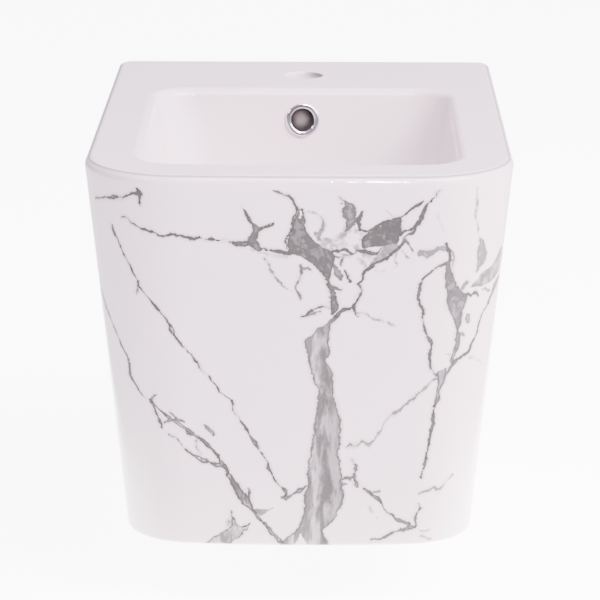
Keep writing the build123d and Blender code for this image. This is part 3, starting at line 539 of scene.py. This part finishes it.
def on_skirt(column, row):
    """Where the camera's ray through a pixel of the frame meets the skirt.

    A ray that passes just outside the outline or under the foot is drawn in until it meets the skirt.
    """
    right, up, forward = camera_axes()
    body = frame["nodes"]["ceramic_body"]
    for drawn_in in range(MOST_DRAWN_IN):
        inwards = drawn_in if column < AXIS_COLUMN else -drawn_in
        level = min(row, FOOT_ROW - drawn_in)
        across = (column + inwards - AXIS_COLUMN) / FOCAL_PX
        upwards = (AXIS_ROW - level) / FOCAL_PX
        ray = (forward + across * right + upwards * up).normalized()
        hit, place, normal, _ = body.ray_cast(CAMERA_AT, ray)
        if hit and normal.z < 0.5:
            s, z = round_skirt(place)
            return s, z - (row - level) * PIXEL_MM
    raise ValueError(f"pixel {column}, {row} isn't on the skirt")


def read_veins():
    """Every vein as (tone, [(along, centre, half width)]) in mm: first those down, then those across."""
    down = [(tone, read_line(points, 1, 0)) for tone, points in VEINS_DOWN.values()]
    down += [(tone, read_edges(rows)) for tone, rows in PATCHES.values()]
    across = [(tone, read_line(points, 0, 1)) for tone, points in VEINS_ACROSS.values()]
    return down, across


def read_line(points, along, aside):
    """A vein's line. Along and aside say which value of a place runs with the vein and which across it."""
    places = [on_skirt(column, row) for column, row, _ in points]
    first, last = places[0], places[-1]
    lean = slope_share(first[along] - last[along], first[aside] - last[aside])
    run = []
    for (column, row, half), place in zip(points, places):
        inwards = 1 if column < FRAME_PX / 2 else -1
        neighbour = on_skirt(column, row - 1) if aside else on_skirt(column + inwards, row)
        pixel = abs(neighbour[aside] - place[aside])
        run.append((place[along], place[aside], half * pixel / lean))
    return run


def slope_share(along, aside):
    """How much of a slanting line's length runs along, and never under a half."""
    return max(abs(along) / hypot(along, aside), 0.5)


def read_edges(rows):
    """A patch between its left and right edges, row by row."""
    run = []
    for row, left, right in rows:
        (s_left, z), (s_right, _) = on_skirt(left, row), on_skirt(right, row)
        run.append((z, (s_left + s_right) / 2, (s_right - s_left) / 2))
    return run


def share_tracks(veins):
    """Puts veins that don't pass side by side on one track, so that a few curves hold them all."""
    tracks = []
    for tone, run in sorted(veins, key=lambda vein: min(p[0] for p in vein[1])):
        run = sorted(run)
        for track in tracks:
            if track[-1][1][-1][0] + 2 * VEIN_GAP_MM < run[0][0]:
                track.append((tone, run))
                break
        else:
            tracks.append([(tone, run)])
    return tracks


def track_curves(track):
    """The centre, half width and tone of a track's veins, each as the points of a curve."""
    centre, half, tone = [], [], []
    for strength, run in track:
        start, end = run[0], run[-1]
        before, after = start[0] - 1.2, end[0] + 1.2
        centre += [(before, start[1])] + [(p[0], p[1]) for p in run] + [(after, end[1])]
        half += [(before - 1.5, -9.0), (before, -0.8)] + [(p[0], p[2]) for p in run]
        half += [(after, -0.8), (after + 1.5, -9.0)]
        tone += [(before, strength), (after, strength)]
    return spread(centre), spread(half), spread(tone)


def spread(points):
    """Keeps a curve's points apart and in order along it."""
    kept = []
    for along, value in sorted(points, key=lambda p: p[0]):
        if kept and along - kept[-1][0] < 0.05:
            along = kept[-1][0] + 0.05
        kept.append((along, value))
    return kept


def skirt_coordinates(glaze):
    """A point's place, how far round the skirt it lies, where the front ends, and its depth in the wall."""
    scaled = glaze.node("ShaderNodeVectorMath", {"operation": "SCALE"}, {0: glaze.place, "Scale": 1 / MM})
    split = {axis: glaze.node("ShaderNodeSeparateXYZ", {}, {0: scaled}, axis) for axis in "XYZ"}
    x, y, z = split["X"], split["Y"], split["Z"]
    share = (DECK_Z - z) / (DECK_Z - FOOT_Z)
    corner_r = CORNER_R + (FOOT_CORNER_R - CORNER_R) * share
    centre_x = HALF_WIDTH - FOOT_INSET * share - corner_r
    bow_r = BOW_R + (FOOT_BOW_R - BOW_R) * share
    centre_y = FRONT_Y + FOOT_RECESS * share + centre_x * centre_x / (2 * bow_r) + corner_r
    beside = x.sum("MAXIMUM", abs(x) - centre_x, 0.0)
    before = x.sum("MAXIMUM", centre_y - y, 0.001)
    turn = x.sum("ARCTAN2", beside, before)
    behind = x.sum("MAXIMUM", y - centre_y, 0.0)
    along = x.sum("MINIMUM", abs(x), centre_x)
    around = along + corner_r * turn + behind
    reach = x.sum("SQRT", beside * beside + before * before)
    depth = corner_r - reach + (centre_x * centre_x - along * along) / (2 * bow_r)
    return x, y, z, around, centre_x + corner_r * PRINT_TURN, depth


def print_coordinates(glaze, x, z, around, front_end):
    """Where in the print a point of the skirt reads. Past the front the print comes back and wanders off."""
    past = x.sum("MAXIMUM", around - front_end, 0.0)
    wander = glaze.step(past, 0.0, 110.0)
    drift_s = (glaze.noise(0.16, 1.0) - 0.5) * 150.0 * wander
    drift_z = (glaze.noise(0.13, 1.0, (1, 1, 1.3)) - 0.5) * 130.0 * wander
    rag_s = (glaze.noise(0.0075, 3.0) - 0.5) * 3.0
    rag_z = (glaze.noise(0.0062, 3.0, (1.1, 1, 1)) - 0.5) * 3.0
    folded = around - past * 2.0 + drift_s
    side = x.sum("SIGN", x)
    return folded * side + rag_s, z + drift_z + rag_z


def add_track(glaze, curves, along, aside):
    """Half width left at a point, in mm, and tone of one track of veins."""
    centre, half, tone = (
        glaze.node("ShaderNodeFloatCurve", {"points": points}, {"Value": along}) for points in curves
    )
    return half - abs(aside - centre), tone


def printed_stone(glaze, s, z):
    """How dark the print is at a point, from 0 to 1."""
    down, across = read_veins()
    grain = glaze.noise(0.0019, 3.0, (1, 1, 0.8), 0.7)
    waver = glaze.noise(0.007, 3.0)
    wear = glaze.noise(0.011, 2.0)
    rag = (grain - 0.5) * 4.2 + (waver - 0.5) * 2.6 - glaze.step(wear, 0.5, 0.62) * 0.8 + 0.3
    drift = glaze.step(waver, 0.36, 0.64)
    stone, inside = None, None
    for tracks, along, aside in ((share_tracks(down), z, s), (share_tracks(across), s, z)):
        for track in tracks:
            room, tone = add_track(glaze, track_curves(track), along, aside)
            soft = room.sum("MAXIMUM", 0.48 - tone, 0.0)
            mark = glaze.step(room + rag, soft * -5.0 - 0.6, soft * 16.0 + 0.6) * tone
            mark = mark * (soft * (drift * 7.0 - 3.5) + 1.0)
            deep = room - (tone < 0.48) * 20.0
            stone = mark if stone is None else stone.sum("MAXIMUM", stone, mark)
            inside = deep if inside is None else inside.sum("MAXIMUM", inside, deep)
    rim = 1.0 - glaze.step(inside + rag, 0.5, 2.4)
    body = marbling(glaze, s, z)
    stone = stone * (rim + (1.0 - rim) * body) * (grain * 0.5 + 0.75)
    halo = glaze.step(inside + waver * 3.0, -2.2, 1.6) * grain * 0.16
    stone = stone.sum("MAXIMUM", stone, halo)
    for rows in GAPS.values():
        gap_track = track_curves([(1.0, sorted(read_edges(rows)))])
        room, _ = add_track(glaze, gap_track, z, s)
        stone = stone * (1.0 - glaze.step(room + rag, -0.4, 0.8))
    return stone


def marbling(glaze, s, z):
    """Streaks and clouds in the wide patches: 1 is full ink. The trunk is streaked, and darker on its right."""
    streaks = glaze.noise(0.0085, 4.0, (1, 1, 0.11), 0.62, 0.3)
    swirls = glaze.noise(0.011, 4.0, (1, 1, 0.8), 0.6, 1.6)
    lines = 1.0 - glaze.step(abs(swirls - 0.5), 0.0, 0.035)
    trunk = 1.0 - glaze.step(z, TRUNK_TOP_Z - 8.0, TRUNK_TOP_Z + 8.0)
    bark = glaze.step(streaks, 0.4, 0.62) * 0.56 + glaze.step(s, 6.0, 30.0) * 0.26 + 0.16
    cloud = glaze.step(swirls, 0.35, 0.65) * 0.34 + lines * 0.2 + 0.6
    return bark * trunk + cloud * (1.0 - trunk)


def in_basin(glaze, x, y, z):
    """1 on the basin's own inner faces, 0 on the ceramic around it."""
    drop = DECK_Z - z
    half = BASIN_HALF_WIDTH + BASIN_LIP - drop * tan(radians(SIDE_LEAN))
    lean = drop * tan(radians(END_LEAN))
    room = x.sum("MINIMUM", half - abs(x), BASIN_REAR_Y + BASIN_LIP - lean - y)
    room = x.sum("MINIMUM", room, y - (BASIN_FRONT_Y - BASIN_LIP) - lean)
    return x.sum("MINIMUM", room, z - BASIN_BOTTOM_Z) > 0.0


def channel_shade(glaze, x, y, z, basin):
    """Darkens the overflow channel away from the spot that the light reaches through the ring."""
    aside, above = x - LIT_SPOT_X, z - LIT_SPOT_Z
    reach = x.sum("SQRT", aside * aside + above * above)
    inside = (1.0 - basin) * (y > CHANNEL_FRONT_Y) * (y < CHANNEL_BACK_Y) * (z < HOLLOW_TOP_Z)
    inside = inside * (reach < CHANNEL_REACH)
    return 1.0 - glaze.step(reach, 1.0, 10.0) * inside * 0.93


def tap_hole_shade(glaze, x, y, z):
    """Darkens the right of the tap hole's wall, which the light passes by."""
    beyond = y - TAP_HOLE_Y
    reach = x.sum("SQRT", x * x + beyond * beyond)
    inside = (reach < TAP_HOLE_R + TAP_HOLE_LIP) * (z < DECK_Z - 0.3)
    turned = glaze.step(x, -3.0, 14.0) * glaze.step(z, DECK_Z - 6.5, DECK_Z - 3.0)
    return 1.0 - (turned * 0.62 + 0.1) * inside


def crease_shade(glaze, z, depth):
    """Painted shade: darkens the line where the deck turns over into the skirt."""
    turned = glaze.step(z, DECK_Z - 2.1, DECK_Z - 1.2) * (1.0 - glaze.step(z, DECK_Z - 0.65, DECK_Z - 0.2))
    return 1.0 - turned * (depth < SKIRT_WALL) * 0.5


def make_glaze():
    """White glaze with the marble print on the skirt. Inside, underneath and at the wall the china is bare."""
    white, pearl = (0.78, 0.72, 0.745), (0.76, 0.71, 0.74)
    cold_ink, warm_ink = (0.66, 0.81, 0.76), (0.74, 0.82, 0.70)
    bare_light, bare_dark = (0.66, 0.63, 0.58), (0.55, 0.52, 0.47)
    glaze = Finish("glaze", white, 0.08)
    glaze.set({"Specular IOR Level": 0.5, "IOR": 1.5})
    x, y, z, around, front_end, depth = skirt_coordinates(glaze)
    s, level = print_coordinates(glaze, x, z, around, front_end)
    stone = printed_stone(glaze, s, level)
    skirt = (depth < GLAZED_DEPTH) * (z < PRINT_TOP_Z) * (z > FOOT_Z + 0.8)
    ground = glaze.mix(glaze.step(glaze.noise(0.09, 2.0), 0.35, 0.65), white, pearl)
    ink = glaze.mix(glaze.step(glaze.noise(0.011, 3.0), 0.35, 0.65), cold_ink, warm_ink)
    shown = stone * skirt
    fading = x.sum("POWER", INK_SHARE, shown)
    printed = glaze.mix(shown, ground, ink)
    china = glaze.node("ShaderNodeVectorMath", {"operation": "SCALE"}, {0: printed, "Scale": fading})
    basin = in_basin(glaze, x, y, z)
    shade = channel_shade(glaze, x, y, z, basin) * tap_hole_shade(glaze, x, y, z)
    # painted shade along the line where the deck turns over into the skirt
    shade = shade * crease_shade(glaze, z, depth)
    china = glaze.node("ShaderNodeVectorMath", {"operation": "SCALE"}, {0: china, "Scale": shade})
    hidden = (1.0 - basin) * (depth > GLAZED_DEPTH) * (z < HOLLOW_TOP_Z)
    foot = z < FOOT_Z + 0.4
    back = y > -0.4
    bare = x.sum("MAXIMUM", x.sum("MAXIMUM", hidden, foot), back)
    grain = glaze.noise(0.0012, 4.0)
    raw = glaze.mix(grain, bare_light, bare_dark)
    raw = glaze.node("ShaderNodeVectorMath", {"operation": "SCALE"}, {0: raw, "Scale": shade})
    glaze.set({"Base Color": glaze.mix(bare, china, raw)})
    glaze.set({"Roughness": bare * 0.62 + glaze.noise(0.03, 3.0) * 0.035 + 0.05})
    ripple = glaze.noise(0.028, 2.0) * 0.85 + grain * bare * 0.12
    glaze.bump(ripple, 0.00012, 0.5)
    return glaze.material


def thread_height(metal, centre, pitch, top):
    """A helical thread round an upright axis, up to a height, from 0 to 1. All lengths in mm."""
    scaled = metal.node("ShaderNodeVectorMath", {"operation": "SCALE"}, {0: metal.place, "Scale": 1 / MM})
    x, y, z = (metal.node("ShaderNodeSeparateXYZ", {}, {0: scaled}, axis) for axis in "XYZ")
    x, y = x - centre[0], y - centre[1]
    turn = x.sum("ARCTAN2", y, x) / (2 * pi)
    groove = abs(x.sum("FRACT", z / pitch + turn) - 0.5) * 2.0
    outside = x.sum("SQRT", x * x + y * y) > WASTE_THREAD_R
    return groove * outside * (z < top)


def make_waste_chrome():
    """Chrome over the waste, with its pipe thread."""
    chrome = Finish("waste_chrome", (0.7, 0.71, 0.73), 0.12, 1.0)
    smear = chrome.noise(0.007, 4.0, (1, 1, 0.3))
    chrome.set({"Base Color": chrome.mix(smear, (0.72, 0.73, 0.75), (0.56, 0.57, 0.59))})
    chrome.set({"Roughness": chrome.step(smear, 0.3, 0.8) * 0.12 + 0.07})
    chrome.bump(thread_height(chrome, (0.0, WASTE_Y), PIPE_PITCH, WASTE_THREAD_TOP_Z), 0.0011)
    return chrome.material


def make_chrome():
    """Polished chrome plate with faint wipe marks."""
    chrome = Finish("chrome", (0.7, 0.71, 0.73), 0.06, 1.0)
    smear = chrome.noise(0.007, 4.0, (1, 1, 0.3))
    chrome.set({"Base Color": chrome.mix(smear, (0.72, 0.73, 0.75), (0.6, 0.61, 0.63))})
    chrome.set({"Roughness": chrome.step(smear, 0.3, 0.8) * 0.09 + 0.12})
    chrome.bump(chrome.noise(0.0009, 2.0), 0.00001, 0.4)
    return chrome.material


def make_zinc():
    """Zinc-plated steel: pale, slightly iridescent, cloudy."""
    zinc = Finish("zinc_steel", (0.62, 0.64, 0.66), 0.32, 1.0)
    cloud = zinc.noise(0.005, 4.0)
    warm = zinc.mix(zinc.noise(0.012, 2.0), (0.66, 0.66, 0.62), (0.56, 0.6, 0.66))
    zinc.set({"Base Color": zinc.mix(zinc.step(cloud, 0.5, 0.9), warm, (0.42, 0.43, 0.44))})
    zinc.set({"Roughness": cloud * 0.25 + 0.2})
    zinc.bump(zinc.noise(0.0006, 3.0), 0.00003, 0.6)
    return zinc.material


def make_stainless():
    """Turned stainless steel with fine lathe lines round the axis."""
    steel = Finish("stainless", (0.58, 0.58, 0.57), 0.28, 1.0)
    lines = steel.noise(0.004, 3.0, (0.2, 0.2, 12))
    steel.set({"Base Color": steel.mix(lines, (0.62, 0.62, 0.6), (0.45, 0.45, 0.44))})
    steel.set({"Roughness": lines * 0.2 + 0.18})
    steel.bump(lines, 0.00002, 0.6)
    return steel.material


def make_brass():
    """Satin turned brass with darker tarnish."""
    brass = Finish("brass", (0.7, 0.52, 0.24), 0.3, 1.0)
    tarnish = brass.step(brass.noise(0.008, 4.0), 0.45, 0.8)
    brass.set({"Base Color": brass.mix(tarnish, (0.74, 0.56, 0.26), (0.42, 0.29, 0.12))})
    brass.set({"Roughness": tarnish * 0.25 + 0.22})
    brass.bump(brass.noise(0.003, 3.0, (0.3, 0.3, 9)), 0.00003, 0.6)
    return brass.material


def make_plastic(name, light, dark, roughness):
    """Moulded plastic with a faint grain and flow marks."""
    plastic = Finish(name, light, roughness)
    flow = plastic.noise(0.012, 2.0, (1, 1, 0.4))
    plastic.set({"Base Color": plastic.mix(plastic.step(flow, 0.3, 0.7), light, dark)})
    plastic.set({"Roughness": flow * 0.12 + roughness - 0.05})
    plastic.bump(plastic.noise(0.0007, 2.0), 0.00003, 0.5)
    return plastic.material


def make_rubber():
    """Black sealing rubber, dull, with pale bloom in places."""
    rubber = Finish("black_rubber", (0.02, 0.02, 0.021), 0.62)
    bloom = rubber.step(rubber.noise(0.006, 4.0), 0.5, 0.85)
    rubber.set({"Base Color": rubber.mix(bloom, (0.018, 0.018, 0.019), (0.06, 0.06, 0.062))})
    rubber.set({"Roughness": bloom * 0.2 + 0.55})
    rubber.bump(rubber.noise(0.0008, 3.0), 0.00005, 0.6)
    return rubber.material


def add_stud_core(x):
    """A round core along Y with chamfered ends and a hexagon socket in its front end."""
    deselect()
    length, middle_y = STUD_BACK_Y - STUD_FRONT_Y, (STUD_BACK_Y + STUD_FRONT_Y) / 2
    bpy.ops.mesh.primitive_cylinder_add(
        vertices=48, radius=STUD_CORE_R * MM, depth=length * MM,
        location=(x * MM, middle_y * MM, 0), rotation=(pi / 2, 0, 0),
    )
    core = bpy.context.object
    bpy.ops.mesh.primitive_cylinder_add(
        vertices=6, radius=STUD_SOCKET_AF * MM / (2 * cos(pi / 6)), depth=2 * STUD_SOCKET * MM,
        location=(x * MM, STUD_FRONT_Y * MM, 0), rotation=(pi / 2, 0, 0),
    )
    socket = bpy.context.object
    deselect()
    core.select_set(True)
    bpy.context.view_layer.objects.active = core
    rounding = core.modifiers.new("chamfer", "BEVEL")
    rounding.width, rounding.segments, rounding.limit_method = STUD_CHAMFER * MM, 2, "ANGLE"
    bpy.ops.object.modifier_apply(modifier=rounding.name)
    cut = core.modifiers.new("socket", "BOOLEAN")
    cut.operation, cut.solver, cut.object = "DIFFERENCE", "EXACT", socket
    bpy.ops.object.modifier_apply(modifier=cut.name)
    deselect()
    socket.select_set(True)
    bpy.ops.object.delete()
    return core


def wind_up(outline, pitch, turns, steps, smooth):
    """Winds a closed outline round and up the Z axis, fills its two ends and turns its faces outwards."""
    wind = outline.modifiers.new("wind", "SCREW")
    wind.axis, wind.screw_offset, wind.iterations = "Z", pitch, turns
    wind.steps = wind.render_steps = steps
    wind.use_normal_calculate, wind.use_smooth_shade = True, smooth
    bpy.ops.object.modifier_apply(modifier=wind.name)
    bpy.ops.object.mode_set(mode="EDIT")
    bpy.ops.mesh.select_all(action="SELECT")
    bpy.ops.mesh.remove_doubles(threshold=1e-6)
    bpy.ops.mesh.select_all(action="DESELECT")
    bpy.ops.mesh.select_non_manifold()
    bpy.ops.mesh.edge_face_add()
    bpy.ops.mesh.select_all(action="SELECT")
    bpy.ops.mesh.normals_make_consistent(inside=False)
    bpy.ops.object.mode_set(mode="OBJECT")


def add_stud_thread(x):
    """A helical ridge round the core, from chamfer to chamfer."""
    deselect()
    root, crest = STUD_CORE_R - 0.1, STUD_CREST_R
    turns = int((STUD_BACK_Y - STUD_FRONT_Y - 2 * STUD_CHAMFER) / STUD_PITCH) - 1
    middle = (root + 0.5 * (crest - root)) * MM
    bpy.ops.mesh.primitive_circle_add(vertices=4, radius=0.5 * STUD_PITCH * MM, location=(0, 0, 0))
    ridge = bpy.context.object
    bpy.ops.object.mode_set(mode="EDIT")
    bpy.ops.mesh.select_all(action="SELECT")
    bpy.ops.transform.rotate(value=pi / 2, orient_axis="X", center_override=(0, 0, 0))
    bpy.ops.transform.resize(value=((crest - root) / STUD_PITCH, 1, 0.96), center_override=(0, 0, 0))
    bpy.ops.transform.translate(value=(middle, 0, 0))
    bpy.ops.object.mode_set(mode="OBJECT")
    wind_up(ridge, STUD_PITCH * MM, turns, 24, False)
    bpy.ops.object.mode_set(mode="EDIT")
    bpy.ops.mesh.select_all(action="SELECT")
    bpy.ops.transform.rotate(value=pi / 2, orient_axis="X", center_override=(0, 0, 0))
    start_y = STUD_FRONT_Y + STUD_CHAMFER + STUD_PITCH / 2
    bpy.ops.transform.translate(value=(x * MM, start_y * MM, 0))
    bpy.ops.object.mode_set(mode="OBJECT")
    return ridge


def add_studs(zinc):
    """Both wall studs, threaded from end to end."""
    parts = []
    for x in (-STUD_X, STUD_X):
        parts += [add_stud_core(x), add_stud_thread(x)]
    deselect()
    for part in parts:
        part.select_set(True)
    studs = parts[0]
    bpy.context.view_layer.objects.active = studs
    bpy.ops.object.join()
    studs.name = "threaded_studs"
    bpy.ops.object.transform_apply(location=True, rotation=True, scale=True)
    bpy.ops.object.shade_smooth_by_angle(angle=radians(28))
    studs.data.materials.append(zinc)
    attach(studs, "bidet")
    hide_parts("wall_studs")


def add_spring_coil(steel):
    """The wire of the plug's spring."""
    deselect()
    bpy.ops.mesh.primitive_circle_add(vertices=10, radius=SPRING_WIRE_R * MM, location=(0, 0, 0))
    coil = bpy.context.object
    coil.name = "spring_coil"
    bpy.ops.object.mode_set(mode="EDIT")
    bpy.ops.mesh.select_all(action="SELECT")
    bpy.ops.transform.rotate(value=pi / 2, orient_axis="X", center_override=(0, 0, 0))
    bpy.ops.transform.translate(value=((SPRING_R - SPRING_WIRE_R) * MM, 0, 0))
    bpy.ops.object.mode_set(mode="OBJECT")
    pitch = (SPRING_TOP_Z - SPRING_FOOT_Z - 2 * SPRING_WIRE_R) / SPRING_TURNS
    wind_up(coil, pitch * MM, SPRING_TURNS, 32, True)
    bpy.ops.object.mode_set(mode="EDIT")
    bpy.ops.mesh.select_all(action="SELECT")
    bpy.ops.transform.translate(value=(0, WASTE_Y * MM, (SPRING_FOOT_Z + SPRING_WIRE_R) * MM))
    bpy.ops.object.mode_set(mode="OBJECT")
    bpy.ops.object.shade_smooth_by_angle(angle=radians(50))
    coil.data.materials.append(steel)
    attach(coil, "bidet")
    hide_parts("plug_spring")
    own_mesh(coil)


def finish_pieces():
    """Every CAD node takes its slot's finish. Waste and studs get their threads, and the spring its coil."""
    finishes = {
        "glaze": make_glaze(),
        "chrome": make_chrome(),
        "zinc_steel": make_zinc(),
        "stainless": make_stainless(),
        "brass": make_brass(),
        "white_plastic": make_plastic("white_plastic", (0.78, 0.78, 0.75), (0.7, 0.7, 0.67), 0.42),
        "grey_plastic": make_plastic("grey_plastic", (0.3, 0.31, 0.32), (0.24, 0.25, 0.26), 0.45),
        "black_rubber": make_rubber(),
    }
    for piece in frame["record"]["subparts"]:
        slots = frame["nodes"][piece["node"]].data.materials
        slots.clear()
        slots.append(finishes[piece["material_slot"]])
    threaded = frame["nodes"]["waste_body"].data.materials
    threaded.clear()
    threaded.append(make_waste_chrome())
    add_studs(finishes["zinc_steel"])
    add_spring_coil(finishes["stainless"])


def add_floor():
    """A pale studio floor that serves as a light table."""
    deselect()
    bpy.ops.mesh.primitive_plane_add(size=16, location=(0, 0, FLOOR_Z))
    floor = bpy.context.object
    floor.name = "floor"
    pale = Finish("floor_paint", (0.93, 0.93, 0.93), 0.85)
    pale.set({"Base Color": pale.mix(pale.noise(0.5, 2.0), (0.94, 0.94, 0.94), (0.92, 0.92, 0.92))})
    aside = abs(pale.node("ShaderNodeSeparateXYZ", {}, {0: pale.place}, "X"))
    forth = pale.node("ShaderNodeSeparateXYZ", {}, {0: pale.place}, "Y")
    beside = pale.step(aside - forth * GLOW_WIDENS, GLOW_WIDTH, GLOW_END)
    lit = pale.step(forth, GLOW_START_Y, GLOW_FULL_Y) * (1.0 - beside)
    glow = pale.mix(lit, (0.05, 0.05, 0.05), (1, 1, 1))
    pale.set({"Emission Color": glow, "Emission Strength": FLOOR_GLOW})
    floor.data.materials.append(pale.material)


def add_softbox(name, at, size, power):
    """A rectangular lamp that points at the basin."""
    deselect()
    bpy.ops.object.light_add(type="AREA", location=at)
    lamp = bpy.context.object
    lamp.name = name
    lamp.rotation_euler = (LAMP_AIM - Vector(at)).to_track_quat("-Z", "Y").to_euler()
    lamp.data.shape = "RECTANGLE"
    lamp.data.size, lamp.data.size_y = size
    lamp.data.energy = power
    lamp.data.color = LAMP_COLOUR
    return lamp


def add_lights():
    """A bright tent overhead, dimmer towards the camera's end of the room, and softboxes."""
    world = bpy.data.worlds.new("studio")
    world.use_nodes = True
    nodes, links = world.node_tree.nodes, world.node_tree.links
    towards = nodes.new("ShaderNodeTexCoord")
    weigh = nodes.new("ShaderNodeVectorMath")
    weigh.operation = "DOT_PRODUCT"
    weigh.inputs[1].default_value = TENT_WAY
    tent = nodes.new("ShaderNodeValToRGB")
    set_stops(tent.color_ramp, TENT_STOPS)
    links.new(towards.outputs["Generated"], weigh.inputs[0])
    links.new(weigh.outputs["Value"], tent.inputs["Fac"])
    links.new(tent.outputs["Color"], nodes["Background"].inputs["Color"])
    nodes["Background"].inputs["Strength"].default_value = TENT_LIGHT
    bpy.context.scene.world = world
    add_softbox("key_light", (2.1, -1.8, 2.5), (2.2, 2.2), 520)
    add_softbox("front_light", (0.3, -2.3, 3.0), (1.6, 0.9), 130)
    # One lamp low on the right that reaches the basin's left wall and doesn't show in the glaze
    add_softbox("basin_light", (1.6, -0.35, 0.6), (0.6, 0.4), 26).visible_glossy = False
    # Two lamps that show only as glints in the glaze
    for name, at, size, power in (
        ("right_glint", (0.19, -2.6, 1.5), (0.12, 0.4), 110),
        ("left_glint", (-1.8, -2.0, 1.7), (0.3, 0.3), 60),
    ):
        add_softbox(name, at, size, power).visible_diffuse = False


deselect()
add_camera()
add_floor()
add_lights()
finish_pieces()
